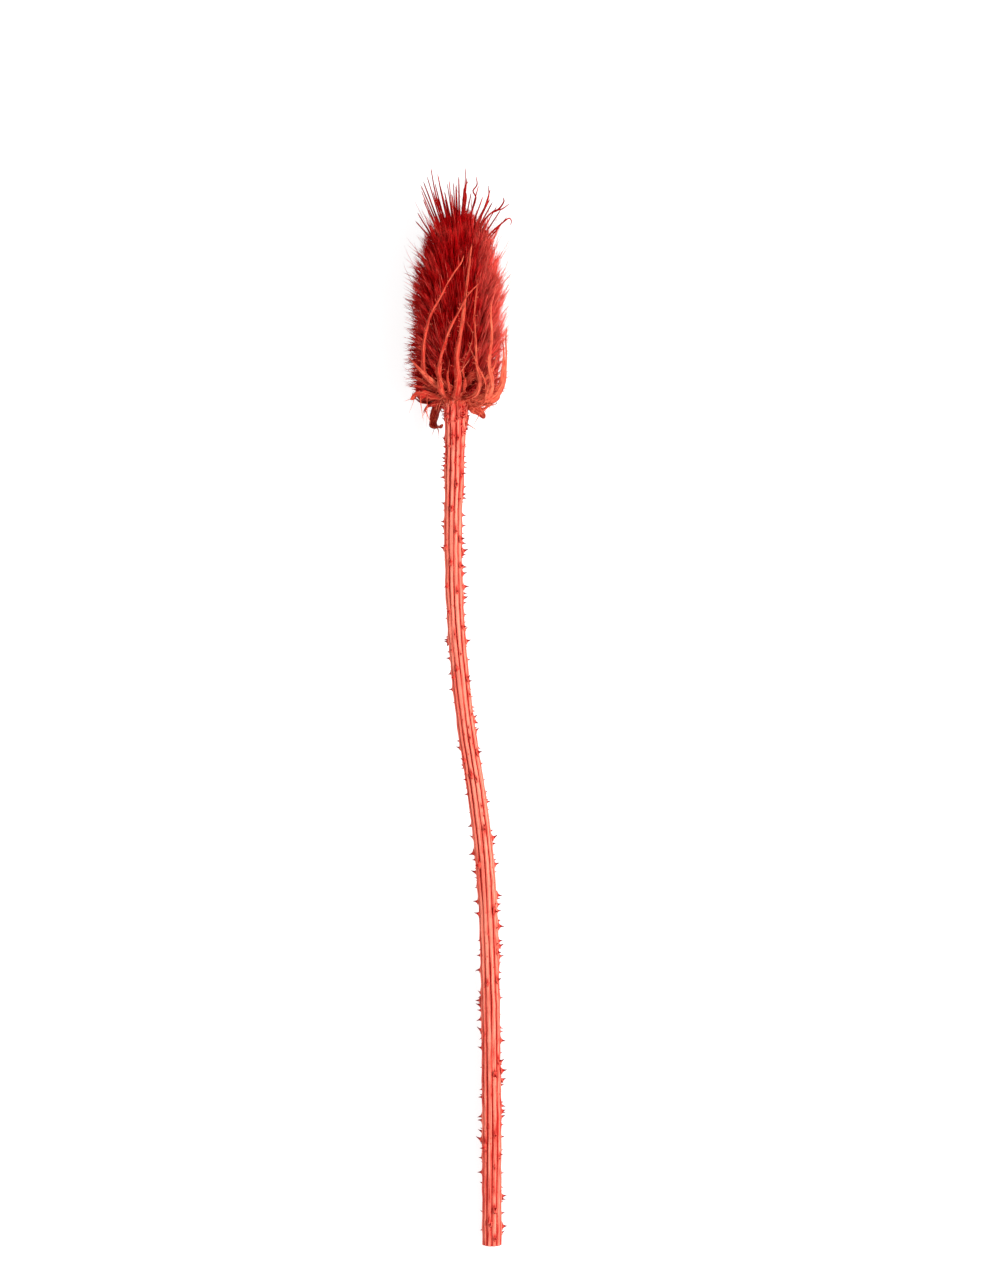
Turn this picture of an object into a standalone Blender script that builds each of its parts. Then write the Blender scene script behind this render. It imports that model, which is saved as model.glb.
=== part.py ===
"""A dried teasel head, dyed red, on its cut stem, lying on a flat surface.

The head points along +Y, its stem runs towards -Y, and +Z is up. All lengths are in metres.
While the pieces are made, the surface is z = 0 and y = 0 is the base of the head. At the end they
are moved together so that the origin is the bottom centre of the whole object.
"""

import math
import random

import bmesh
import bpy
from mathutils import Vector, kdtree

# The head: a core that the spiny scales stand out of
HEAD_BASE = Vector((0.0004, 0.0, 0.0169))
HEAD_AXIS = Vector((0.0212, 1.0, 0.024)).normalized()
HEAD_RIGHT = HEAD_AXIS.cross(Vector((0, 0, 1))).normalized()
HEAD_UP = HEAD_RIGHT.cross(HEAD_AXIS)
CORE_PROFILE = (  # distance along the head's axis, radius
    (0.0006, 0.0094),
    (0.0030, 0.0108),
    (0.0080, 0.0119),
    (0.0200, 0.0124),
    (0.0340, 0.0122),
    (0.0450, 0.0112),
    (0.0550, 0.0090),
    (0.0625, 0.0062),
    (0.0672, 0.0034),
    (0.0690, 0.0016),
)
HEAD_REST_RADIUS = 0.0044  # the head's flat foot on the stem
SCALES_ROUND = 22
SCALE_ROW_STEP = 0.0026

# Spines, by distance along the head's axis
SPINE_LEAN_DEG = (  # from straight out, 0, to straight along the axis, 90
    (0.000, -4.0),
    (0.006, 6.0),
    (0.015, 17.0),
    (0.030, 27.0),
    (0.045, 38.0),
    (0.055, 51.0),
    (0.062, 64.0),
    (0.069, 84.0),
)
SPINE_LENGTH = (
    (0.000, 0.0056),
    (0.006, 0.0070),
    (0.015, 0.0076),
    (0.030, 0.0086),
    (0.045, 0.0096),
    (0.055, 0.0104),
    (0.062, 0.0110),
    (0.069, 0.0116),
)
SPINE_BEND_DEG = 9.0  # the free end turns this much further up the head
SPINE_SWAY_DEG = 5.0
SPINE_LENGTH_SPREAD = 0.14
NECK_SHARE = 0.36  # where a scale narrows into its spine
NECK_WIDTH = 0.25  # its width there, as a share of the scale's width
CROWN_START = 0.0540
CROWN_BRISTLE_LENGTH = (0.0150, 0.0225)
CROWN_BRISTLE_EVERY = 3
CROWN_SWAY_DEG = 1.5

# The stem: ribbed, with broad-based prickles
STEM_LINE = (  # distance below the head's base, sideways place
    (0.0190, 0.0001),
    (0.0392, -0.0004),
    (0.0632, -0.0008),
    (0.0992, 0.0006),
    (0.1392, 0.0047),
    (0.1792, 0.0108),
    (0.2232, 0.0140),
    (0.2992, 0.0150),
    (0.3532, 0.0152),
)
STEM_TOP = 0.0065
STEM_LENGTH = STEM_LINE[-1][0]
STEM_END_HEIGHT = 0.0033
STEM_BOW = 0.0015
STEM_RADIUS = (  # distance below the head's base, radius over the ribs
    (0.000, 0.0045),
    (0.004, 0.0047),
    (0.010, 0.0041),
    (0.020, 0.0038),
    (0.060, 0.0036),
    (0.100, 0.0036),
    (0.180, 0.0038),
    (0.260, 0.0039),
    (0.3532, 0.0040),
)
STEM_RINGS = 46
STEM_RING_CROWDING = 1.5  # rings stand closer together under the head
STEM_RIBS = 8
RIB_DEPTH = 0.15
RIB_TWIST_DEG = 24.0
PRICKLE_COUNT = 84
NECK_PRICKLE_COUNT = 22
NECK_PRICKLE_START = 0.0086
NECK_PRICKLE_REACH = 0.0240
PRICKLE_REACH = 0.3480
PRICKLE_HEIGHT = (0.0012, 0.0019)
PRICKLE_LENGTH = 0.0013  # half the base, along the stem
PRICKLE_WIDTH = 0.00055  # half the base, across a rib
PRICKLE_SINK = 0.0006
FLOOR_GAP = 0.0002

# The bracts that cup the head: narrow, keeled, curved strips, all grown from the swollen ring
# between the stem and the head
HUB_PROFILE = (  # distance below the head's base, radius
    (0.0003, 0.0048),
    (0.0010, 0.0053),
    (0.0036, 0.0053),
    (0.0054, 0.0050),
    (0.0062, 0.0046),
)
HUB_SIDES = 20
BRACT_ROOT_RADIUS = 0.0036  # inside the ring
BRACT_STEPS = 15
BRACT_HALF_WIDTH = (
    (0.00, 0.0011),
    (0.12, 0.0021),
    (0.30, 0.0016),
    (0.55, 0.0010),
    (0.85, 0.0006),
    (1.00, 0.00032),
)
BRACT_HALF_THICKNESS = ((0.0, 0.0006), (0.1, 0.0010), (0.3, 0.0008), (0.8, 0.00045), (1.0, 0.0003))
BRACT_CLEARANCE = 0.0019
TOOTH_SPACING = 0.0075
TOOTH_HEIGHT = 0.0016
TOOTH_HALF_LENGTH = 0.0007
TOOTH_HALF_WIDTH = 0.0004
TOOTH_SINK = 0.00012

# Each bract's course: azimuth round the head's axis in degrees (0 right, 90 up), distance along
# that axis, distance from it
BRACT_COURSES = {
    "left_long": (
        (146, -0.0012, BRACT_ROOT_RADIUS),
        (143, -0.0026, 0.0100),
        (137, -0.0010, 0.0160),
        (131, 0.0050, 0.0202),
        (130, 0.0125, 0.0208),
        (129, 0.0205, 0.0209),
        (121, 0.0305, 0.0210),
        (108, 0.0395, 0.0208),
        (96, 0.0465, 0.0202),
        (87, 0.0515, 0.0198),
        (84, 0.0550, 0.0201),
    ),
    "crossing": (
        (116, -0.0012, BRACT_ROOT_RADIUS),
        (114, -0.0026, 0.0100),
        (112, -0.0010, 0.0160),
        (110, 0.0045, 0.0202),
        (109, 0.0095, 0.0208),
        (106, 0.0160, 0.0210),
        (99, 0.0235, 0.0213),
        (90, 0.0305, 0.0221),
        (81, 0.0372, 0.0229),
        (68, 0.0436, 0.0226),
    ),
    "middle_long": (
        (88, -0.0012, BRACT_ROOT_RADIUS),
        (89, -0.0026, 0.0100),
        (89, -0.0008, 0.0160),
        (89, 0.0050, 0.0201),
        (89, 0.0120, 0.0207),
        (86, 0.0210, 0.0208),
        (83, 0.0310, 0.0207),
        (80, 0.0400, 0.0204),
        (77, 0.0490, 0.0194),
        (71, 0.0600, 0.0170),
    ),
    "right_slim": (
        (55, -0.0012, BRACT_ROOT_RADIUS),
        (55, -0.0026, 0.0100),
        (57, -0.0008, 0.0160),
        (61, 0.0045, 0.0200),
        (65, 0.0090, 0.0206),
        (67, 0.0150, 0.0208),
        (69, 0.0230, 0.0208),
        (69, 0.0315, 0.0207),
        (68, 0.0390, 0.0204),
        (65, 0.0465, 0.0194),
    ),
    "loose": (
        (34, -0.0044, BRACT_ROOT_RADIUS),
        (37, -0.0058, 0.0100),
        (47, -0.0040, 0.0175),
        (57, 0.0030, 0.0226),
        (62, 0.0070, 0.0230),
        (70, 0.0120, 0.0232),
        (78, 0.0190, 0.0236),
    ),
    "right_broad": (
        (19, -0.0012, BRACT_ROOT_RADIUS),
        (22, -0.0026, 0.0100),
        (33, -0.0008, 0.0160),
        (43, 0.0045, 0.0201),
        (48, 0.0100, 0.0207),
        (48, 0.0180, 0.0209),
        (47, 0.0280, 0.0209),
        (48, 0.0370, 0.0206),
    ),
    "right_side": (
        (-13, -0.0014, BRACT_ROOT_RADIUS),
        (-8, -0.0034, 0.0100),
        (1, -0.0028, 0.0150),
        (8, 0.0010, 0.0191),
        (11, 0.0060, 0.0205),
        (13, 0.0120, 0.0209),
        (14, 0.0190, 0.0210),
        (15, 0.0270, 0.0208),
    ),
    "right_low": (
        (-40, -0.0014, BRACT_ROOT_RADIUS),
        (-38, -0.0046, 0.0095),
        (-34, -0.0064, 0.0140),
        (-28, -0.0034, 0.0186),
        (-24, 0.0025, 0.0207),
        (-22, 0.0100, 0.0210),
        (-21, 0.0180, 0.0210),
        (-22, 0.0250, 0.0208),
    ),
    "curled": (
        (222, -0.0014, BRACT_ROOT_RADIUS),
        (222, -0.0050, 0.0095),
        (222, -0.0095, 0.0122),
        (220, -0.0130, 0.0120),
        (216, -0.0136, 0.0092),
    ),
    "left_side": (
        (182, -0.0014, BRACT_ROOT_RADIUS),
        (183, -0.0030, 0.0100),
        (186, -0.0036, 0.0150),
        (192, -0.0002, 0.0190),
        (199, 0.0055, 0.0206),
        (204, 0.0120, 0.0210),
        (206, 0.0200, 0.0211),
        (205, 0.0270, 0.0208),
    ),
    "blunt": (
        (278, -0.0014, BRACT_ROOT_RADIUS),
        (283, -0.0046, 0.0088),
        (290, -0.0086, 0.0106),
        (297, -0.0124, 0.0100),
    ),
}
BRACT_WIDTH_SCALE = {"loose": 0.62, "right_broad": 1.25, "curled": 1.15}

COLOURS = {  # base colour, roughness
    "dyed_scales": ((0.36, 0.012, 0.014), 0.62),
    "dyed_bract": ((0.58, 0.070, 0.045), 0.60),
    "dyed_stem": ((0.70, 0.130, 0.095), 0.58),
}
SEED = 7


def read_table(table, x):
    """Straight-line reading of a table of (x, value) pairs, held level past its ends."""
    if x <= table[0][0]:
        return table[0][1]
    for (x0, y0), (x1, y1) in zip(table, table[1:]):
        if x <= x1:
            return y0 + (y1 - y0) * (x - x0) / (x1 - x0)
    return table[-1][1]


def smooth_points(points, per_span=12):
    """Points on the Catmull-Rom curve through the given points."""
    ends = [2 * points[0] - points[1], *points, 2 * points[-1] - points[-2]]
    found = []
    for p0, p1, p2, p3 in zip(ends, ends[1:], ends[2:], ends[3:]):
        for k in range(per_span):
            t = k / per_span
            found.append(
                0.5 * (2 * p1 + (p2 - p0) * t + (2 * p0 - 5 * p1 + 4 * p2 - p3) * t**2
                       + (3 * p1 - p0 - 3 * p2 + p3) * t**3)
            )
    return [*found, points[-1].copy()]


def spaced_points(points, count, crowding=1.0):
    """Points at count steps along the smooth curve: of equal length, or crowded towards its start."""
    fine = smooth_points(points)
    run = [0.0]
    for a, b in zip(fine, fine[1:]):
        run.append(run[-1] + (b - a).length)
    found, k = [], 0
    for n in range(count + 1):
        target = run[-1] * (n / count) ** crowding
        while k < len(fine) - 2 and run[k + 1] < target:
            k += 1
        share = (target - run[k]) / max(run[k + 1] - run[k], 1e-12)
        found.append(fine[k].lerp(fine[k + 1], min(share, 1.0)))
    return found


def tangents(points):
    """The direction of a polyline at each of its points."""
    last = len(points) - 1
    return [(points[min(n + 1, last)] - points[max(n - 1, 0)]).normalized() for n in range(last + 1)]


def outward(azimuth):
    """Straight out from the head's axis at an azimuth in radians."""
    return HEAD_RIGHT * math.cos(azimuth) + HEAD_UP * math.sin(azimuth)


def head_point(along, radius, azimuth):
    """A point by its place round and along the head's axis."""
    return HEAD_BASE + HEAD_AXIS * along + outward(azimuth) * radius


def material(name):
    """A plain Principled finish in one of the object's colours."""
    made = bpy.data.materials.new(name)
    made.use_nodes = True
    colour, roughness = COLOURS[name]
    shader = made.node_tree.nodes["Principled BSDF"]
    shader.inputs["Base Color"].default_value = (*colour, 1.0)
    shader.inputs["Roughness"].default_value = roughness
    shader.inputs["Metallic"].default_value = 0.0
    return made


def new_object(name, points, faces, collection=None):
    """A triangulated mesh object whose faces all point out."""
    mesh = bpy.data.meshes.new(name)
    mesh.from_pydata([tuple(p) for p in points], [], faces)
    work = bmesh.new()
    work.from_mesh(mesh)
    bmesh.ops.recalc_face_normals(work, faces=work.faces)
    bmesh.ops.triangulate(work, faces=work.faces)
    work.to_mesh(mesh)
    work.free()
    made = bpy.data.objects.new(name, mesh)
    (collection or bpy.context.scene.collection).objects.link(made)
    return made


def tube(rings):
    """Points and faces of a closed tube through rings of equally many points."""
    sides = len(rings[0])
    points = [p for ring in rings for p in ring]
    faces = [list(range(sides)), list(range(len(points) - sides, len(points)))]
    for r in range(len(rings) - 1):
        for k in range(sides):
            a, b = r * sides + k, r * sides + (k + 1) % sides
            faces.append([a, b, b + sides, a + sides])
    return points, faces


def thorn(collection, root, out, along, height, half_length, half_width, sink):
    """A four-sided prickle with a broad base sunk into what it grows from."""
    across = out.cross(along).normalized()
    low = root - out * sink
    base = [low + along * half_length, low + across * half_width,
            low - along * half_length, low - across * half_width]
    tip = root + out * height
    faces = [[0, 1, 2, 3], [0, 1, 4], [1, 2, 4], [2, 3, 4], [3, 0, 4]]
    new_object("thorn", [*base, tip], faces, collection)


def fuse(body, collection):
    """Joins the collection's pieces onto body in one union, then removes them."""
    join = body.modifiers.new("join", "BOOLEAN")
    join.operation = "UNION"
    join.operand_type = "COLLECTION"
    join.collection = collection
    join.solver = "EXACT"
    apply_modifiers(body)
    for piece in list(collection.objects):
        bpy.data.objects.remove(piece)
    bpy.data.collections.remove(collection)


def apply_modifiers(body):
    """Replaces the body's mesh by what its modifiers make of it."""
    graph = bpy.context.evaluated_depsgraph_get()
    made = bpy.data.meshes.new_from_object(body.evaluated_get(graph))
    body.modifiers.clear()
    body.data = made


def gather(name):
    """A new collection for the pieces of one union."""
    made = bpy.data.collections.new(name)
    bpy.context.scene.collection.children.link(made)
    return made


def bract_path(name):
    """The bract's centre line, from its root on the stem to its tip."""
    course = BRACT_COURSES[name]
    points = [head_point(along, radius, math.radians(azimuth)) for azimuth, along, radius in course]
    return spaced_points(points, BRACT_STEPS)


def bract(name, collection):
    """A keeled strip, flat side to the head, with a few teeth down its keel and edges."""
    path = bract_path(name)
    rings, frames = [], []
    for n, (centre, ahead) in enumerate(zip(path, tangents(path))):
        from_axis = centre - HEAD_BASE
        radial = from_axis - HEAD_AXIS * from_axis.dot(HEAD_AXIS)
        across = HEAD_AXIS.cross(radial).normalized()
        across = (across - ahead * across.dot(ahead)).normalized()
        outer = across.cross(ahead).normalized()
        share = n / BRACT_STEPS
        half = read_table(BRACT_HALF_WIDTH, share) * BRACT_WIDTH_SCALE.get(name, 1.0)
        thick = read_table(BRACT_HALF_THICKNESS, share)
        rings.append([centre + across * half, centre + outer * thick,
                      centre - across * half, centre - outer * thick])
        frames.append((centre, ahead, across, outer, half, thick))
    new_object(name, *tube(rings), collection)
    length = sum((b - a).length for a, b in zip(path, path[1:]))
    count = max(3, int(length / TOOTH_SPACING))
    for k in range(count):
        centre, ahead, across, outer, half, thick = frames[2 + int((BRACT_STEPS - 5) * k / count)]
        side, reach = ((across, half), (outer, thick), (-across, half))[k % 3]
        height = TOOTH_HEIGHT * random.uniform(0.8, 1.2)
        root = centre + side * (reach - TOOTH_HALF_WIDTH)
        if (root + side * height).z > FLOOR_GAP:
            size = TOOTH_HALF_LENGTH, TOOTH_HALF_WIDTH, TOOTH_SINK
            thorn(collection, root, side, ahead, height, *size)


def bracts():
    """All the bracts and the ring they grow from, in one piece."""
    step = math.tau / HUB_SIDES
    turns = [k * step for k in range(HUB_SIDES)]
    rings = [[head_point(-below, radius, turn) for turn in turns] for below, radius in HUB_PROFILE]
    made = new_object("bracts", *tube(rings))
    parts = gather("parts")
    for name in BRACT_COURSES:
        bract(name, parts)
    fuse(made, parts)
    return made


def bract_lines():
    """A search tree of points on every bract's centre line, for spines to keep clear of."""
    points = [p for name in BRACT_COURSES for p in spaced_points(bract_path(name), 4 * BRACT_STEPS)]
    tree = kdtree.KDTree(len(points))
    for n, p in enumerate(points):
        tree.insert(p, n)
    tree.balance()
    return tree


def spine_length(along, column, row):
    """How long the spine at this place is, crown bristles included."""
    length = read_table(SPINE_LENGTH, along)
    if along > CROWN_START and (column + row) % CROWN_BRISTLE_EVERY == 0:
        length = random.uniform(*CROWN_BRISTLE_LENGTH)
    return length * (1 + random.uniform(-SPINE_LENGTH_SPREAD, SPINE_LENGTH_SPREAD))


def spine_directions(along, azimuth):
    """The ways the lower and the free part of a spine point."""
    sway = CROWN_SWAY_DEG if along > CROWN_START else SPINE_SWAY_DEG
    lean = math.radians(read_table(SPINE_LEAN_DEG, along) + random.uniform(-sway, sway))
    turn = azimuth + math.radians(random.uniform(-sway, sway))
    bent = min(lean + math.radians(SPINE_BEND_DEG), math.radians(89))
    return [outward(turn) * math.cos(a) + HEAD_AXIS * math.sin(a) for a in (lean, bent)]


def spine(root, along, azimuth, column, row, lines):
    """The middle of a scale's neck and the tip of its spine, clear of the bracts and the surface."""
    lower, free = spine_directions(along, azimuth)
    length = spine_length(along, column, row)
    shares = (0.55, 0.7, 0.85, 1.0)
    for _ in range(12):
        neck = root + lower * (length * NECK_SHARE)
        tip = neck + free * (length * (1 - NECK_SHARE))
        if all(lines.find(root.lerp(tip, s))[2] > BRACT_CLEARANCE for s in shares):
            break
        length *= 0.9
    tip.z = max(tip.z, 0.0)
    return neck, tip


def head():
    """A core whose surface is a lattice of diamonds, each drawn out into a scale and its spine."""
    profile = [Vector((along, radius, 0.0)) for along, radius in CORE_PROFILE]
    fine = smooth_points(profile)
    length = sum((b - a).length for a, b in zip(fine, fine[1:]))
    rows = [(p.x, p.y) for p in spaced_points(profile, round(length / SCALE_ROW_STEP))]
    step = math.tau / SCALES_ROUND
    points, faces = [], []
    for row, (along, radius) in enumerate(rows):
        shift = 0.0 if row % 2 else 0.5
        points += [head_point(along, radius, (k + shift) * step) for k in range(SCALES_ROUND)]

    def corner(row, k):
        return row * SCALES_ROUND + k % SCALES_ROUND

    lines = bract_lines()
    last = len(rows) - 1
    for row in range(1, last):
        along = rows[row][0]
        odd = row % 2
        for k in range(SCALES_ROUND):
            first = k if odd else k - 1
            beside = corner(row, first), corner(row, first + 1)
            diamond = [beside[0], corner(row - 1, k), beside[1], corner(row + 1, k)]
            azimuth = (k + 0.5 * odd) * step
            root = sum((points[c] for c in diamond), Vector()) / 4
            neck, tip = spine(root, along, azimuth, k, row, lines)
            ring = [len(points) + n for n in range(4)]
            points += [neck + (points[c] - root) * NECK_WIDTH for c in diamond]
            apex = len(points)
            points.append(tip)
            for n in range(4):
                m = (n + 1) % 4
                faces += [[diamond[n], diamond[m], ring[m], ring[n]], [ring[n], ring[m], apex]]
    for row, inner in ((0, 1), (last, last - 1)):
        for k in range(SCALES_ROUND):
            first = k if row % 2 else k - 1
            faces.append([corner(row, first), corner(row, first + 1), corner(inner, k)])
    foot = [len(points) + k for k in range(SCALES_ROUND)]
    points += [head_point(0.0, HEAD_REST_RADIUS, (k + 0.5) * step) for k in range(SCALES_ROUND)]
    for k in range(SCALES_ROUND):
        faces.append([corner(0, k - 1), corner(0, k), foot[k], foot[k - 1]])
    faces.append(foot)
    faces.append([corner(last, k) for k in range(SCALES_ROUND)])
    return new_object("head", points, faces)


def stem_path():
    """The stem's centre line, from just under the bracts' ring to its cut end."""
    top = HEAD_BASE - HEAD_AXIS * STEM_TOP
    points = [top, top - HEAD_AXIS * 0.006]
    for below, side in STEM_LINE:
        share = below / STEM_LENGTH
        height = top.z + (STEM_END_HEIGHT - top.z) * share + STEM_BOW * math.sin(math.pi * share)
        points.append(Vector((side, -below, height)))
    return spaced_points(points, STEM_RINGS, STEM_RING_CROWDING)


def stem_run(ring):
    """How far below the head's base a ring of the stem is."""
    return STEM_TOP + (STEM_LENGTH - STEM_TOP) * (ring / STEM_RINGS) ** STEM_RING_CROWDING


def stem_place(below):
    """The ring, with a fraction, at a distance below the head's base."""
    return STEM_RINGS * ((below - STEM_TOP) / (STEM_LENGTH - STEM_TOP)) ** (1 / STEM_RING_CROWDING)


def stem_ring(centre, ahead, below, rib_heights):
    """One cross-section of the stem: ribs with grooves between them."""
    across = Vector((1, 0, 0)) - ahead * ahead.x
    across.normalize()
    over = across.cross(ahead)
    radius = read_table(STEM_RADIUS, below)
    twist = math.radians(RIB_TWIST_DEG) * below / STEM_LENGTH
    ring = []
    for k in range(2 * STEM_RIBS):
        angle = math.pi * k / STEM_RIBS + twist
        size = radius * (1 - RIB_DEPTH if k % 2 else rib_heights[k // 2])
        ring.append(centre + (across * math.cos(angle) + over * math.sin(angle)) * size)
    return ring


def stem():
    """The ribbed stem with its prickles, cut square at its lower end and worn flat where it lies."""
    path = stem_path()
    rib_heights = [random.uniform(0.94, 1.0) for _ in range(STEM_RIBS)]
    ahead = tangents(path)
    rings = []
    for n, centre in enumerate(path):
        direction = -HEAD_AXIS if n == 0 else ahead[n]
        rings.append(stem_ring(centre, direction, stem_run(n), rib_heights))
    made = new_object("stem", *tube(rings))
    prickles = gather("prickles")
    for n in range(PRICKLE_COUNT + NECK_PRICKLE_COUNT):
        if n < PRICKLE_COUNT:
            share = (n + random.random()) / PRICKLE_COUNT
            below = NECK_PRICKLE_START + share * (PRICKLE_REACH - NECK_PRICKLE_START)
        else:
            below = random.uniform(NECK_PRICKLE_START, NECK_PRICKLE_REACH)
        place = stem_place(below)
        ring, share = int(place), place - int(place)
        rib = 2 * ((3 * n + random.randint(0, 1)) % STEM_RIBS)
        root = rings[ring][rib].lerp(rings[ring + 1][rib], share)
        centre = path[ring].lerp(path[ring + 1], share)
        along = ahead[ring]
        out = ((root - centre).normalized() + along * random.uniform(-0.25, 0.25)).normalized()
        height = random.uniform(*PRICKLE_HEIGHT)
        if (root + out * height).z < FLOOR_GAP:
            continue
        thorn(prickles, root, out, along, height, PRICKLE_LENGTH, PRICKLE_WIDTH, PRICKLE_SINK)
    fuse(made, prickles)
    flatten_underside(made)
    return made


def flatten_underside(body):
    """Cuts away what reaches below the surface, which leaves the small flat the stem rests on."""
    side = 0.2
    bpy.ops.mesh.primitive_cube_add(size=side, location=(0.0, -STEM_LENGTH, -side / 2))
    ground = bpy.context.object
    cut = body.modifiers.new("cut", "BOOLEAN")
    cut.operation = "DIFFERENCE"
    cut.object = ground
    cut.solver = "EXACT"
    apply_modifiers(body)
    bpy.data.objects.remove(ground)


def place_origin(pieces):
    """Hangs every piece on one empty, moved so that the origin is the object's bottom centre."""
    corners = [v.co for piece in pieces for v in piece.data.vertices]
    low = Vector([min(c[n] for c in corners) for n in range(3)])
    high = Vector([max(c[n] for c in corners) for n in range(3)])
    carrier = bpy.data.objects.new("teasel", None)
    bpy.context.scene.collection.objects.link(carrier)
    carrier.location = (-(low.x + high.x) / 2, -(low.y + high.y) / 2, -low.z)
    for piece in pieces:
        piece.parent = carrier


def main():
    for old in list(bpy.data.objects):
        bpy.data.objects.remove(old)
    random.seed(SEED)
    stalk = stem()
    cup = bracts()
    spiny = head()
    for piece, finish in ((stalk, "dyed_stem"), (cup, "dyed_bract"), (spiny, "dyed_scales")):
        piece.data.materials.clear()
        piece.data.materials.append(material(finish))
    place_origin([stalk, cup, spiny])
    bpy.context.view_layer.update()


main()
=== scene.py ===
import math

import bpy
import numpy as np
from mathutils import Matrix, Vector, kdtree


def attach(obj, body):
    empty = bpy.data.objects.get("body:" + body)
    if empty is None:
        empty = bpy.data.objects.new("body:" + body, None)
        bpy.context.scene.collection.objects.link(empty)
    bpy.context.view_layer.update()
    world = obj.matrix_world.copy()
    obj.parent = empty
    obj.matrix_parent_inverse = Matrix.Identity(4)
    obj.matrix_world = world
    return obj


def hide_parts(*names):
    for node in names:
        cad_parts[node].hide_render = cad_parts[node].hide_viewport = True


# Looks of a dried, dyed teasel that lies on a pale surface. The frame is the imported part:
# +Y runs up the stem to the crown, +Z up from the surface. Lengths are in metres, but in
# millimetres in the tables of points, widths and courses

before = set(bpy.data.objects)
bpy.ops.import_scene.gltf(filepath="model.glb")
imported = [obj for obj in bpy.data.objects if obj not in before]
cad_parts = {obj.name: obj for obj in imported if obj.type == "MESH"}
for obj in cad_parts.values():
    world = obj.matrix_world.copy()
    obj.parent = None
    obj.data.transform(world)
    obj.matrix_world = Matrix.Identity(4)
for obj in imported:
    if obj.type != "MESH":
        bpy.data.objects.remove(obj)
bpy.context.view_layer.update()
print("frame loaded:", sorted(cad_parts))

mm = 0.001
dice = np.random.default_rng(41)


# Small tools for paths and tables

def unit(v):
    return v / np.maximum(np.linalg.norm(v, axis=-1, keepdims=True), 1e-12)


def smoothPath(points, count):
    # evenly spaced points on the Catmull-Rom curve through the given ones
    fineSteps = 24
    p = np.array(points, float)
    p = np.vstack([2 * p[0] - p[1], p, 2 * p[-1] - p[-2]])
    t = (np.arange(fineSteps) / fineSteps)[:, None]
    fine = []
    for a, b, c, d in zip(p, p[1:], p[2:], p[3:]):
        fine.append(0.5 * (2 * b + (c - a) * t + (2 * a - 5 * b + 4 * c - d) * t ** 2
                           + (3 * b - a - 3 * c + d) * t ** 3))
    fine = np.vstack([*fine, p[-2]])
    run = lengthAlong(fine)
    at = np.linspace(0, run[-1], count + 1)
    return np.stack([np.interp(at, run, fine[:, k]) for k in range(3)], 1)


def lengthAlong(path):
    return np.append(0, np.cumsum(np.linalg.norm(np.diff(path, axis=0), axis=1)))


def aheadOf(path):
    return unit(np.gradient(path, axis=0))


def reading(table, x):
    table = np.array(table, float)
    return np.interp(x, table[:, 0], table[:, 1])


def wander(terms, *coordinates, pitches):
    # smooth, seeded waviness of about -1 to 1 over any coordinates. Whole pitches close round a turn
    total = 0
    for _ in range(terms):
        phase = dice.uniform(0, math.tau)
        for x, (low, high) in zip(coordinates, pitches):
            phase = phase + x * (dice.integers(low, high + 1) if isinstance(low, int) else dice.uniform(low, high))
        total = total + np.sin(phase)
    return total / math.sqrt(terms)


# A basket gathers points and faces with the values of each point that the materials read: reach,
# 0 at a strand's root and 1 at its tip, or painted shade in a groove or hollow, negative for a painted
# highlight on a ridge; tone, a strand's own dryness with the painted light of its place, a bract's paleness
# with painted light and shade, or how near a prickle's tip; and grain, a place along and across the fibres in mm

def newBasket():
    return {"points": [], "faces": [], "slots": [], "reach": [], "tone": [], "grain": [], "count": 0}


def putIn(basket, points, faces, reach, tone, grain=None, slot=0):
    points = np.asarray(points, float).reshape(-1, 3)
    n = len(points)
    basket["points"].append(points)
    basket["reach"].append(np.broadcast_to(reach, (n,)))
    basket["tone"].append(np.broadcast_to(tone, (n,)))
    basket["grain"].append(points * 1000 if grain is None else np.asarray(grain, float).reshape(-1, 3))
    for group in faces:
        group = np.asarray(group)
        if len(group):
            basket["faces"].extend((group + basket["count"]).tolist())
            basket["slots"].extend([slot] * len(group))
    basket["count"] += n


def makePiece(name, basket, materials, nodes):
    mesh = bpy.data.meshes.new(name)
    points = np.vstack(basket["points"])
    points[:, 2] = np.maximum(points[:, 2], 0.00002)  # nothing goes under the surface it lies on
    mesh.from_pydata(points.tolist(), [], basket["faces"])
    mesh.polygons.foreach_set("use_smooth", [True] * len(mesh.polygons))
    mesh.polygons.foreach_set("material_index", basket["slots"])
    for key, kind, field in (("reach", "FLOAT", "value"), ("tone", "FLOAT", "value"),
                             ("grain", "FLOAT_VECTOR", "vector")):
        values = mesh.attributes.new(key, kind, "POINT")
        values.data.foreach_set(field, np.concatenate(basket[key]).astype(np.float32).ravel())
    for finish in materials:
        mesh.materials.append(finish)
    mesh.validate()
    piece = bpy.data.objects.new(name, mesh)
    bpy.context.scene.collection.objects.link(piece)
    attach(piece, "root")
    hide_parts(*nodes)
    print(f"{name}: {len(mesh.vertices)} points, {sum(len(f) - 2 for f in basket['faces'])} triangles")


roundSection = {n: np.array([(math.cos(math.tau * k / n), math.sin(math.tau * k / n)) for k in range(n)])
                for n in (3, 4, 6, 8)}
strandBox = ((-0.0226, 0.0226), (-1.0, 0.2340), (0.0003, 0.0417))  # what a strand may fill on each axis


def withinBox(roots, steps, bends):
    # the share of each strand's length that stays in that box
    tips = roots + steps + bends
    share = np.ones(len(roots))
    for axis, (low, high) in enumerate(strandBox):
        gone = np.abs(tips[:, axis] - roots[:, axis]) + 1e-9
        room = np.where(tips[:, axis] > roots[:, axis], high - roots[:, axis], roots[:, axis] - low)
        share = np.minimum(share, np.clip(room / gone, 0.05, 1))
    return share[:, None]


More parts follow.
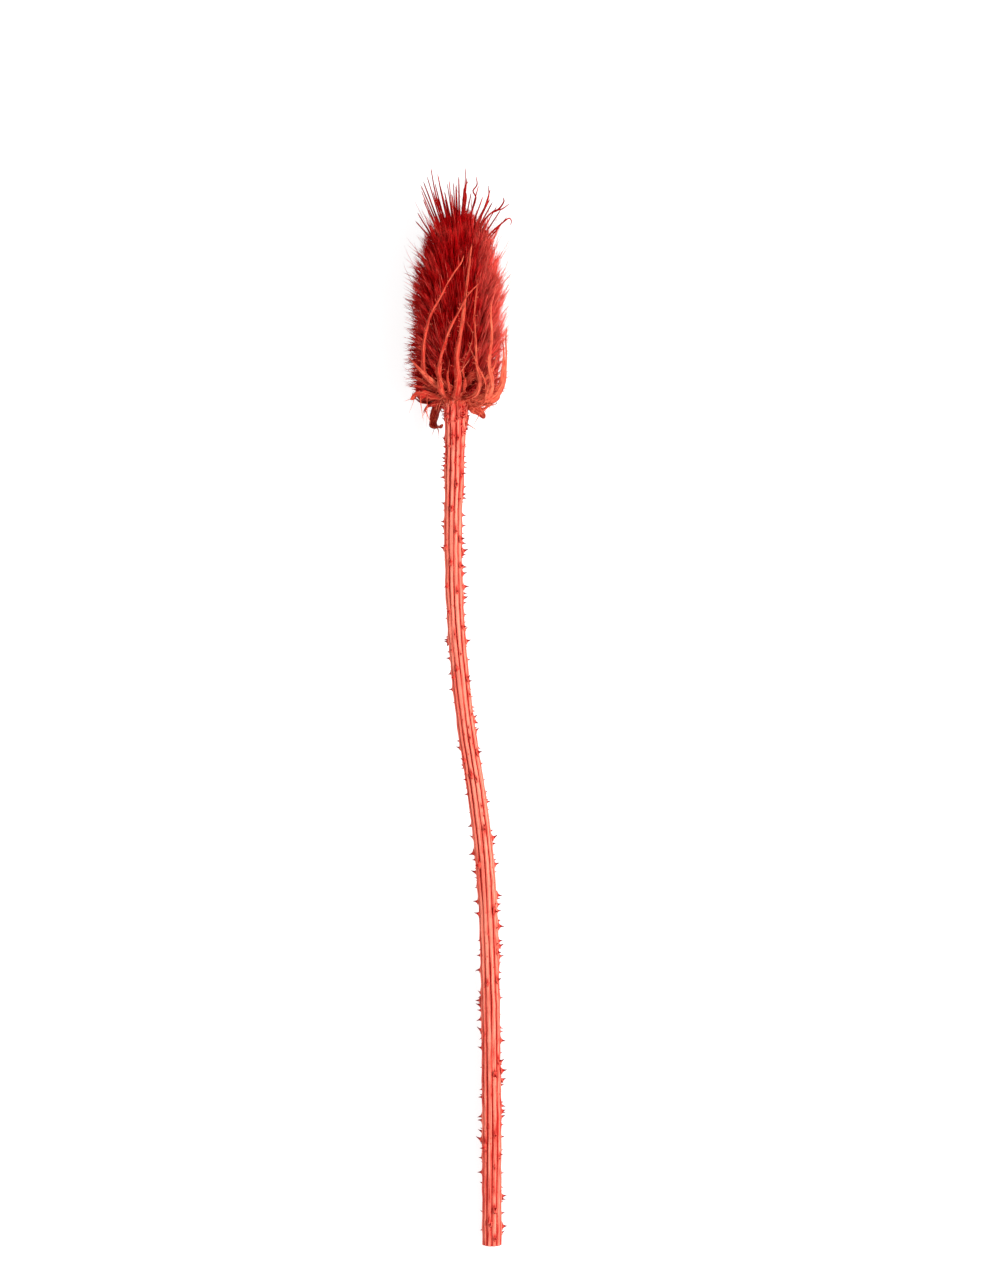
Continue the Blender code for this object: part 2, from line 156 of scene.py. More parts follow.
def tubeFaces(rings, sides):
    r, k = np.meshgrid(np.arange(rings - 1), np.arange(sides), indexing="ij")
    n = (k + 1) % sides
    return np.stack([r * sides + k, (r + 1) * sides + k, (r + 1) * sides + n, r * sides + n], -1).reshape(-1, 4)


def closedTube(rings, sides, flip=False):
    # a tube with a flat cap at either end
    ring = np.arange(sides)[None]
    faces = [tubeFaces(rings, sides), ring, (rings - 1) * sides + ring[:, ::-1]]
    return [group[:, ::-1] for group in faces] if flip else faces


def sweep(path, across, over, halfAcross, halfOver, section):
    # a ring of the section's shape at each point of a path
    return path[:, None] + across[:, None] * (halfAcross[:, None] * section[None, :, 0])[..., None] \
        + over[:, None] * (halfOver[:, None] * section[None, :, 1])[..., None]


def growStrands(basket, roots, steps, bends, flats, halfWidths, halfDepths, shape, section, tones):
    # many tapering blades, spines or hairs at once, each on root + step t + bend t². shape is
    # (share of length, width, depth) from root to tip, section is (across, outward) round the blade
    shape, section = np.array(shape, float), np.array(section, float)
    m, rows, sides = len(roots), len(shape) - 1, len(section)
    t = shape[:, 0]
    room = withinBox(roots, steps, bends)
    steps, bends = steps * room, bends * room
    line = roots[:, None] + steps[:, None] * t[None, :, None] + bends[:, None] * (t ** 2)[None, :, None]
    ahead = unit(steps[:, None] + 2 * t[None, :, None] * bends[:, None])
    across = unit(np.cross(ahead, flats[:, None]))
    deep = np.cross(across, ahead)
    w = np.broadcast_to(halfWidths, (m,))[:, None] * shape[None, :, 1]
    d = np.broadcast_to(halfDepths, (m,))[:, None] * shape[None, :, 2]
    rings = line[:, :rows, None] + across[:, :rows, None] * (w[:, :rows, None, None] * section[None, None, :, :1]) \
        + deep[:, :rows, None] * (d[:, :rows, None, None] * section[None, None, :, 1:])
    each = rows * sides + 1
    points = np.concatenate([rings.reshape(m, rows * sides, 3), line[:, rows:rows + 1]], axis=1)
    first = (np.arange(m) * each)[:, None, None]
    k = np.arange(sides)
    last = (rows - 1) * sides
    tip = np.stack([last + (k + 1) % sides, last + k, np.full(sides, rows * sides)], -1)
    faces = [(tubeFaces(rows, sides)[None] + first).reshape(-1, 4), (tip[None] + first).reshape(-1, 3),
             (k[None, None] + first).reshape(-1, sides)]
    putIn(basket, points, faces, np.tile(np.append(np.repeat(t[:rows], sides), 1.0), m), np.repeat(tones, each))


def toneFromReach(basket, low, gain, start=0.0, top=1.0):
    # what was grown last on bark gets no painted groove shade, and its tone rises to the tip
    reach = basket["reach"][-1]
    basket["tone"][-1] = np.clip(low + gain * np.maximum(reach - start, 0), 0, top)
    basket["reach"][-1] = np.zeros(len(reach))


# Materials: shared groups first

def newGroup(name, inputs, outputs):
    tree = bpy.data.node_groups.new(name, "ShaderNodeTree")
    for label, kind, default in inputs:
        socket = tree.interface.new_socket(label, in_out="INPUT", socket_type=kind)
        socket.default_value = default
    for label, kind in outputs:
        tree.interface.new_socket(label, in_out="OUTPUT", socket_type=kind)
    return tree, tree.nodes.new("NodeGroupInput").outputs, tree.nodes.new("NodeGroupOutput").inputs


def node(tree, kind, values=None, **settings):
    made = tree.nodes.new(kind)
    for key, value in settings.items():
        setattr(made, key, value)
    for key, value in (values or {}).items():
        if isinstance(value, bpy.types.NodeSocket):
            tree.links.new(value, made.inputs[key])
        else:
            made.inputs[key].default_value = value
    return made


def mathNode(tree, operation, a, b=0.0, c=0.0, clamp=False):
    return node(tree, "ShaderNodeMath", {0: a, 1: b, 2: c}, operation=operation, use_clamp=clamp).outputs[0]


def mapRange(tree, value, fromLow, fromHigh, toLow=0.0, toHigh=1.0):
    return node(tree, "ShaderNodeMapRange", {"Value": value, "From Min": fromLow, "From Max": fromHigh,
                                             "To Min": toLow, "To Max": toHigh}).outputs[0]


def mixColour(tree, factor, a, b, blend="MIX"):
    return node(tree, "ShaderNodeMix", {0: factor, 6: a, 7: b}, data_type="RGBA", blend_type=blend).outputs[2]


def noise(tree, place, scale, detail, roughness=0.5):
    return node(tree, "ShaderNodeTexNoise", {"Vector": place, "Scale": scale, "Detail": detail,
                                             "Roughness": roughness}).outputs[0]


def vector(tree, x, y, z):
    return node(tree, "ShaderNodeCombineXYZ", {0: x, 1: y, 2: z}).outputs[0]


def attribute(tree, name, output="Fac"):
    return node(tree, "ShaderNodeAttribute", attribute_name=name, attribute_type="GEOMETRY").outputs[output]


def colour(r, g, b):
    return (r, g, b, 1.0)


def buildStrandTone():
    # root to tip colour of a strand, between a soaked look and a dry, lit look by its own tone, which also carries
    # the painted light of its place, with uneven dye
    tree, source, sink = newGroup(
        "strandTone", [(label, "NodeSocketColor", colour(0.4, 0, 0)) for label in strandColours.values()]
        + [("Spread", "NodeSocketFloat", 0.4), ("Blotch Size", "NodeSocketFloat", 0.12)],
        [("Color", "NodeSocketColor"), ("Height", "NodeSocketFloat")])
    grain = attribute(tree, "grain", "Vector")
    uneven = mapRange(tree, noise(tree, grain, source["Blotch Size"], 4.0), 0.32, 0.68, -0.5, 0.5)
    up = mapRange(tree, attribute(tree, "reach"), 0.15, 0.95)
    soaked = mixColour(tree, up, source["Soaked Root"], source["Soaked Tip"])
    dryAndLit = mixColour(tree, up, source["Dry And Lit Root"], source["Dry And Lit Tip"])
    drynessAndLight = mathNode(tree, "MULTIPLY_ADD", uneven, 0.35, attribute(tree, "tone"), clamp=True)
    gain = mathNode(tree, "MULTIPLY_ADD", uneven, source["Spread"], 1.0)
    grey = node(tree, "ShaderNodeCombineColor", {0: gain, 1: gain, 2: gain}).outputs[0]
    tree.links.new(mixColour(tree, 1.0, mixColour(tree, drynessAndLight, soaked, dryAndLit), grey, "MULTIPLY"), sink["Color"])
    tree.links.new(noise(tree, grain, 3.0, 2.0), sink["Height"])
    return tree


def buildDryGrain():
    # lengthwise fibres: grain.x and grain.z run across and grain.y along, in millimetres
    tree, source, sink = newGroup(
        "dryGrain", [(label, "NodeSocketFloat", 1.0) for label in grainSizes.values()],
        [(label, "NodeSocketFloat") for label in ("Fibre", "Fine Fibre", "Blotch", "Speck")])
    x, y, z = node(tree, "ShaderNodeSeparateXYZ", {0: attribute(tree, "grain", "Vector")}).outputs
    width = source["Fibre Width"]
    streaks = vector(tree, mathNode(tree, "DIVIDE", x, width), mathNode(tree, "DIVIDE", y, source["Fibre Length"]),
                     mathNode(tree, "DIVIDE", z, width))
    patches = vector(tree, mathNode(tree, "DIVIDE", x, 2.2), mathNode(tree, "DIVIDE", y, source["Blotch Size"]),
                     mathNode(tree, "MULTIPLY_ADD", z, 0.45, 7.0))
    specks = vector(tree, x, mathNode(tree, "MULTIPLY", y, 0.5), z)
    cells = node(tree, "ShaderNodeTexVoronoi", {"Vector": specks, "Scale": 0.8, "Randomness": 1.0})
    spots = mapRange(tree, cells.outputs["Distance"], 0.10, 0.26, 1.0, 0.0)
    strewn = mapRange(tree, noise(tree, specks, 0.3, 1.0), 0.45, 0.58)
    tree.links.new(mapRange(tree, noise(tree, streaks, 0.40, 3.0, 0.6), 0.36, 0.64), sink["Fibre"])
    tree.links.new(mapRange(tree, noise(tree, streaks, 1.1, 3.0, 0.65), 0.34, 0.66), sink["Fine Fibre"])
    tree.links.new(mapRange(tree, noise(tree, patches, 1.0, 4.0, 0.62), 0.38, 0.62), sink["Blotch"])
    tree.links.new(mathNode(tree, "MULTIPLY", spots, strewn), sink["Speck"])
    return tree


strandColours = {"soakedRoot": "Soaked Root", "soakedTip": "Soaked Tip", "dryAndLitRoot": "Dry And Lit Root", "dryAndLitTip": "Dry And Lit Tip"}
grainSizes = {"fibreWidth": "Fibre Width", "fibreLength": "Fibre Length", "blotchSize": "Blotch Size"}
strandTone = buildStrandTone()
dryGrain = buildDryGrain()


def newMaterial(name, roughness, specular):
    made = bpy.data.materials.new(name)
    made.use_nodes = True
    shader = made.node_tree.nodes["Principled BSDF"]
    shader.inputs["Roughness"].default_value = roughness
    shader.inputs["Specular IOR Level"].default_value = specular
    return made, made.node_tree, shader.inputs


def bumped(tree, shader, height, strength, distance):
    bump = node(tree, "ShaderNodeBump", {"Height": height, "Strength": strength, "Distance": distance})
    tree.links.new(bump.outputs[0], shader["Normal"])


def strandMaterial(name, look):
    made, tree, shader = newMaterial(name, look["roughness"], look["specular"])
    values = {label: colour(*look[key]) for key, label in strandColours.items()}
    tones = node(tree, "ShaderNodeGroup", node_tree=strandTone)
    for label, value in {**values, "Spread": look["spread"], "Blotch Size": look["blotchSize"]}.items():
        tones.inputs[label].default_value = value
    tree.links.new(tones.outputs["Color"], shader["Base Color"])
    bumped(tree, shader, tones.outputs["Height"], 0.25, 0.0001)
    return made


def grainMaterial(name, look):
    made, tree, shader = newMaterial(name, look["roughness"], look["specular"])
    grain = node(tree, "ShaderNodeGroup", node_tree=dryGrain)
    for key, label in grainSizes.items():
        grain.inputs[label].default_value = look[key]
    fibre, fineFibre, blotch, speck = grain.outputs
    shadeAndHighlight, prickle = attribute(tree, "reach"), attribute(tree, "tone")
    # the tone is broken up by the fibres: the dye round a prickle on the stem, painted light and shade on the bracts
    edge = mathNode(tree, "MULTIPLY_ADD", mathNode(tree, "SUBTRACT", fineFibre, 0.5), look["stainAndLightBreak"], prickle)
    out = mixColour(tree, blotch, colour(*look["deep"]), colour(*look["main"]))
    for key, share in (("pale", mathNode(tree, "MULTIPLY", fibre, look["paleShare"])),
                       ("line", mapRange(tree, fineFibre, 0.60, 0.95, 0.0, look["lineShare"])),
                       # painted highlight on ridges and keels, painted shade in grooves and hollows
                       ("pale", mapRange(tree, shadeAndHighlight, -0.15, -1.0, 0.0, look["ridgeHighlightShare"])),
                       ("grooveShade", mapRange(tree, shadeAndHighlight, 0.12, 0.62, 0.0, look["grooveShadeShare"])),
                       ("speck", mathNode(tree, "MULTIPLY", speck, look["speckShare"])),
                       ("stainAndLight", mapRange(tree, edge, 0.10, 0.75)),
                       ("tip", mapRange(tree, prickle, 0.62, 1.0))):
        out = mixColour(tree, share, out, colour(*look[key]))
    tree.links.new(out, shader["Base Color"])
    rough = mapRange(tree, fineFibre, 0.0, 1.0, look["roughness"] - 0.08, look["roughness"] + 0.08)
    tree.links.new(rough, shader["Roughness"])
    bumped(tree, shader, mathNode(tree, "MULTIPLY_ADD", fibre, 0.6, fineFibre), look["bump"], 0.00012)
    return made


stemLook = {
    "main": (0.9, 0.155, 0.104), "deep": (0.72, 0.052, 0.034), "pale": (0.95, 0.33, 0.225), "paleShare": 0.62,
    "line": (0.56, 0.03, 0.02), "lineShare": 0.62, "grooveShade": (0.28, 0.005, 0.004), "grooveShadeShare": 0.97,
    "speck": (0.46, 0.014, 0.01), "speckShare": 0.8, "stainAndLight": (0.48, 0.013, 0.01), "stainAndLightBreak": 0.6,
    "tip": (0.19, 0.003, 0.004), "ridgeHighlightShare": 0.7, "fibreWidth": 0.21, "fibreLength": 9.0, "blotchSize": 7.0,
    "roughness": 0.6, "specular": 0.05, "bump": 0.6}
bractLook = {
    "main": (0.5, 0.011, 0.009), "deep": (0.24, 0.002, 0.003), "pale": (0.84, 0.134, 0.074), "paleShare": 0.48,
    "line": (0.25, 0.007, 0.006), "lineShare": 0.6, "grooveShade": (0.17, 0.001, 0.0012), "grooveShadeShare": 0.94,
    "speck": (0.18, 0.004, 0.004), "speckShare": 0.85, "stainAndLight": (0.86, 0.172, 0.094), "stainAndLightBreak": 1.15,
    "tip": (0.9, 0.26, 0.16), "ridgeHighlightShare": 0.4, "fibreWidth": 0.26, "fibreLength": 4.5, "blotchSize": 3.2,
    "roughness": 0.62, "specular": 0.02, "bump": 0.7}
pithLook = {
    "main": (0.72, 0.4, 0.24), "deep": (0.6, 0.22, 0.13), "pale": (0.84, 0.6, 0.42), "paleShare": 0.7,
    "line": (0.45, 0.1, 0.06), "lineShare": 0.35, "grooveShade": (0.4, 0.05, 0.03), "grooveShadeShare": 0.8,
    "speck": (0.4, 0.06, 0.04), "speckShare": 0.5, "stainAndLight": (0.6, 0.1, 0.07), "stainAndLightBreak": 0.3,
    "tip": (0.5, 0.05, 0.03), "ridgeHighlightShare": 0.0, "fibreWidth": 0.5, "fibreLength": 0.5, "blotchSize": 2.0,
    "roughness": 0.85, "specular": 0.1, "bump": 0.8}
furLook = {
    "soakedRoot": (0.33, 0.0009, 0.0018), "soakedTip": (0.52, 0.0018, 0.0036), "dryAndLitRoot": (0.7, 0.036, 0.028),
    "dryAndLitTip": (0.94, 0.14, 0.108), "spread": 0.45, "blotchSize": 0.16, "roughness": 0.65, "specular": 0.01}
spineLook = {
    "soakedRoot": (0.18, 0.0008, 0.0016), "soakedTip": (0.44, 0.006, 0.0075), "dryAndLitRoot": (0.44, 0.014, 0.012),
    "dryAndLitTip": (0.88, 0.17, 0.115), "spread": 0.45, "blotchSize": 0.14, "roughness": 0.6, "specular": 0.02}
bristleLook = {
    "soakedRoot": (0.24, 0.0006, 0.0014), "soakedTip": (0.27, 0.0014, 0.0024), "dryAndLitRoot": (0.44, 0.012, 0.011),
    "dryAndLitTip": (0.66, 0.06, 0.045), "spread": 0.45, "blotchSize": 0.2, "roughness": 0.6, "specular": 0.02}
coreLook = {
    "soakedRoot": (0.08, 0.0008, 0.0012), "soakedTip": (0.12, 0.0012, 0.0018), "dryAndLitRoot": (0.1, 0.001, 0.001),
    "dryAndLitTip": (0.16, 0.002, 0.002), "spread": 0.5, "blotchSize": 0.3, "roughness": 0.85, "specular": 0.01}

stemFinish = grainMaterial("dyedStem", stemLook)
pithFinish = grainMaterial("palePith", pithLook)
bractFinish = grainMaterial("dyedBract", bractLook)
furFinish = strandMaterial("dyedFur", furLook)
spineFinish = strandMaterial("dyedSpines", spineLook)
bristleFinish = strandMaterial("dyedBristles", bristleLook)
coreFinish = strandMaterial("headCore", coreLook)
print("materials ready")


# The head's place: its base, its axis, and what is right and up across it

headBase = np.array((-0.000617, 0.131207, 0.0169))
headAxis = unit(np.array((0.0212, 1.0, 0.024)))
headRight = unit(np.cross(headAxis, (0, 0, 1)))
headUp = np.cross(headRight, headAxis)
headFrame = np.array([headRight, headAxis, headUp])


def outwards(azimuth):
    azimuth = np.asarray(azimuth, float)[..., None]
    return headRight * np.cos(azimuth) + headUp * np.sin(azimuth)


def headPoint(along, radius, azimuth):
    along, radius = np.asarray(along, float)[..., None], np.asarray(radius, float)[..., None]
    return headBase + headAxis * along + outwards(azimuth) * radius


def inHead(points):
    # from across, along and up in the head's frame, in mm
    return headBase + np.array(points, float) @ headFrame * mm


# Stem

stem = {
    "line": [(-0.64, 130, 16.87), (-0.75, 124.71, 16.74), (-1.01, 108.34, 16.16), (-1.36, 94.63, 15.83),
             (-1.8, 78.4, 15.42), (-1.66, 59.98, 14.92), (-0.89, 39.63, 14.35), (0.81, 17.56, 13.69),
             (3.44, -6.08, 12.93), (7.35, -31.09, 12.06), (10.8, -57.62, 11.05), (12.74, -85.68, 9.9),
             (13.5, -115.11, 8.56), (13.81, -145.79, 7.12), (14.06, -177.68, 5.57), (14.15, -210.73, 3.88),
             (14.18, -221.99, 3.3)],
    "top": 0.0012,  # below the head's base
    "radius": [(1.2, 5), (4, 5), (6.5, 4.7), (10, 4.5), (20, 4), (60, 3.6), (100, 3.6), (180, 3.8), (260, 3.9),
               (353.2, 4)],
    "rings": 640, "points": 104,
    # grooves: angle round the stem (0 right, 90 up), half width in degrees, depth as a share of radius, darkness of
    # the shade painted in it
    "grooves": [(119, 2.8, 0.14, 1), (101, 3.4, 0.12, 0.85), (67, 1.9, 0.004, 0.1), (82, 2.2, 0.006, 0.24),
                (45, 1.8, 0.004, 0.1), (5, 4, 0.06, 0.45), (-24, 4, 0.11, 0.9), (-55, 5, 0.1, 0.9),
                (-88, 4, 0.13, 1), (-121, 5, 0.1, 0.9), (-150, 4, 0.13, 1), (170, 4, 0.09, 0.8)],
    # ridges, with a painted highlight along each: angle, half width in degrees, height as a share of radius
    "ridges": [(110, 2.6, 0.026), (130, 4, 0.01), (20, 6, 0.008), (-10, 4, 0.02), (-38, 5, 0.02), (-72, 5, 0.02),
               (-104, 5, 0.02), (-136, 5, 0.02), (186, 5, 0.016)],
    "meanderDeg": 4.0,
    "prickles": 310, "prickleHeight": (0.0010, 0.0025), "prickledLength": 0.347,
    "neckPrickles": 130, "neckHeight": (0.0008, 0.0019), "neckLength": 0.032,
    # the ribs' angles and how thickly the prickles stand on them
    "ribs": [(143, 1.2), (158, 2.8), (180, 3.6), (196, 1.6), (-8, 2.6), (14, 3.6), (24, 2.4), (36, 1), (55, 0.8),
             (78, 0.9), (94, 0.8), (112, 0.6), (-40, 1.6), (-72, 1.2), (-105, 1.2), (-135, 1.6)],
    "swell": (0.00055, 0.0014), "stainWidth": 0.00056, "stainLength": (0.0010, 0.0028), "usualHeight": 0.0018,
    # the cut end, from the bark to its sunken middle: share of the radius, how far out, how dark
    "cut": [(1, 0, 0), (0.955, 0.00012, 0), (0.88, 0.0001, 0.35), (0.84, -0.00018, 0.35), (0.7, -0.0003, 0),
            (0.5, -0.00022, 0), (0.32, -0.0004, 0), (0.16, -0.00085, 0.9), (0.06, -0.0011, 0.9)],
    "pithFrom": 2, "pithRough": 0.00010, "grainRadius": 3.8,
}
stemPath = smoothPath(np.array(stem["line"]) * mm, stem["rings"])
stemRun = lengthAlong(stemPath) + stem["top"]
stemAhead = aheadOf(stemPath)
stemAcross = unit(np.array((1.0, 0, 0)) - stemAhead * stemAhead[:, :1])
stemOver = np.cross(stemAcross, stemAhead)
sides = stem["points"]
turns = np.arange(sides) / sides * math.tau
turnRow, runColumn = turns[None], stemRun[:, None]


def offTurn(angle):
    return (turnRow - angle + math.pi) % math.tau - math.pi


share = np.ones((len(stemRun), sides))
shadeAndHighlight = np.zeros_like(share)
ribDrift = stem["meanderDeg"] * wander(3, stemRun, pitches=[(12.0, 60.0)])
# painted shade in each groove and a painted highlight along each ridge, the strongest kept at each point
for angle, width, cut, shadeAmount in stem["grooves"] + [(a, w, -h, -1.0) for a, w, h in stem["ridges"]]:
    centre = np.radians(angle + ribDrift + 1.2 * wander(3, stemRun, pitches=[(20.0, 120.0)]))[:, None]
    strength = np.clip(1 + 0.35 * wander(3, stemRun, pitches=[(30.0, 160.0)]), 0.2, 1.5)[:, None]
    dip = np.exp(-(offTurn(centre) / math.radians(width)) ** 2) * strength
    share -= cut * dip
    shadeAndHighlight = np.where(np.abs(dip * shadeAmount) > np.abs(shadeAndHighlight), dip * shadeAmount, shadeAndHighlight)
girth = reading(stem["radius"], stemRun / mm) * mm * (1 + 0.02 * wander(5, stemRun, pitches=[(60.0, 420.0)]))
ripple = 0.010 * wander(9, turnRow, runColumn, pitches=[(9, 40), (5.0, 60.0)])
lumps = 0.018 * wander(9, turnRow, runColumn, pitches=[(1, 6), (120.0, 900.0)])

# where the prickles stand, most of them along the ribs, and more of them round the neck
count, neckCount = stem["prickles"], stem["neckPrickles"]
ribAngle, ribShare = np.array(stem["ribs"], float).T
prickleRun = stem["top"] + 0.004 + (np.arange(count) + dice.random(count)) / count * stem["prickledLength"]
prickleAngle = dice.choice(np.radians(ribAngle), count, p=ribShare / ribShare.sum()) + dice.normal(0, 0.06, count)
prickleHigh = dice.uniform(*stem["prickleHeight"], count) * dice.choice([0.55, 1.0], count, p=[0.35, 0.65])
prickleRun = np.append(prickleRun, 0.004 + dice.beta(1.0, 2.4, neckCount) * stem["neckLength"])
prickleAngle = np.append(prickleAngle, dice.uniform(0, math.tau, neckCount))
prickleHigh = np.append(prickleHigh, dice.uniform(*stem["neckHeight"], neckCount))

# the rib swells and reddens round each of them, the dye is stronger at the neck, and the stem is darker towards the
# cut
stainAndLight = np.zeros_like(share)
for run, angle, high in zip(prickleRun, prickleAngle, prickleHigh):
    near = np.abs(stemRun - run) < 0.006
    off = offTurn(angle) * stem["grainRadius"] * mm
    down = runColumn[near] - run + 0.0002
    high = high / stem["usualHeight"]
    share[near] += 0.085 * np.exp(-(off / stem["swell"][0]) ** 2 - (down / stem["swell"][1]) ** 2) * high
    streak = np.exp(-(off / stem["stainWidth"]) ** 2 - (down / dice.uniform(*stem["stainLength"])) ** 2) * high
    stainAndLight[near] = np.maximum(stainAndLight[near], dice.uniform(0.45, 1.0) * streak)
neckFlush = np.exp(-np.maximum(runColumn - 0.004, 0) / 0.009) \
    * (0.27 + 0.32 * wander(9, turnRow, runColumn, pitches=[(2, 9), (300.0, 1500.0)]))
blush = (0.30 + 0.30 * np.clip((runColumn - 0.20) / 0.08, 0, 1)) \
    * np.clip(wander(9, turnRow, runColumn, pitches=[(1, 6), (60.0, 420.0)]) - 0.8, 0, 1)
darkerTowardsCut = np.clip((runColumn - 0.22) / 0.07, 0, 1) \
    * (0.26 + 0.12 * wander(7, turnRow, runColumn, pitches=[(1, 5), (40.0, 260.0)]))
stainAndLight = np.clip(np.maximum(stainAndLight, neckFlush) + blush + darkerTowardsCut, 0, 0.70)

stemRadius = girth[:, None] * (share + ripple + lumps)
ringDirection = stemAcross[:, None] * np.cos(turns)[None, :, None] + stemOver[:, None] * np.sin(turns)[None, :, None]
stemRings = stemPath[:, None] + ringDirection * stemRadius[..., None]


def barkGrain(radius, run):
    # the place on a round stem of even radius in mm, so that the fibres keep their width
    run = run[:, None] * 1000 + 0 * turnRow
    return np.stack([np.cos(turnRow) * radius + 0 * run, run, np.sin(turnRow) * radius + 0 * run], -1)


stemBasket = newBasket()
stemGrain = barkGrain(stem["grainRadius"], stemRun)
putIn(stemBasket, stemRings, closedTube(len(stemRun), sides)[:2], shadeAndHighlight.ravel(), stainAndLight.ravel(), stemGrain)

# the cut end: a rim of bark, then rough pale pith that has shrunk back a little
endRings, endReach = [], []
for ringShare, back, reach in stem["cut"]:
    rough = 0 if ringShare > 0.9 else stem["pithRough"]
    endRings.append(stemPath[-1] + (stemRings[-1] - stemPath[-1]) * ringShare
                    + stemAhead[-1] * (back + rough * dice.normal(size=(sides, 1))))
    endReach.append(np.full(sides, reach))
first = stem["pithFrom"]
putIn(stemBasket, np.array(endRings[:first + 1]), [tubeFaces(first + 1, sides)], 0.25, 0.3,
      np.tile(stemGrain[-1], (first + 1, 1)))
pith = np.array(endRings[first:])
putIn(stemBasket, pith, closedTube(len(pith), sides)[::2], np.concatenate(endReach[first:]), 0.0, slot=1)

# the prickles: broad bases that run along the rib, sharp dark tips that bend a little
ring = np.searchsorted(stemRun, prickleRun).clip(0, len(stemRun) - 1)
column = np.round((prickleAngle % math.tau) / math.tau * sides).astype(int) % sides
outward, ahead = ringDirection[ring, column], stemAhead[ring]
aims = unit(outward + ahead * dice.normal(-0.08, 0.25, len(ring))[:, None])
roots = stemRings[ring, column] - outward * 0.0003
steps = aims * (prickleHigh + 0.0003)[:, None]
bends = ahead * (dice.normal(0.0, 0.18, len(ring)) * prickleHigh)[:, None]
keep = (roots + steps)[:, 2] > 0.0001
atNeck = prickleRun < 0.036
prickleShape = [(0, 1.45, 1.45), (0.1, 0.98, 0.92), (0.24, 0.58, 0.54), (0.45, 0.31, 0.28), (0.72, 0.16, 0.15),
                (1, 0, 0)]
growStrands(stemBasket, roots[keep], steps[keep], bends[keep], np.cross(aims, ahead)[keep],
            (prickleHigh * np.where(atNeck, 0.34, 0.55))[keep], (prickleHigh * np.where(atNeck, 0.26, 0.30))[keep],
            prickleShape, roundSection[8], np.zeros(keep.sum()))
toneFromReach(stemBasket, 0.42, 1.45, start=0.12)
makePiece("stemBark", stemBasket, [stemFinish, pithFinish], ["stem"])


# Bracts: long ones that curve up round the head, short and folded ones between them at its base

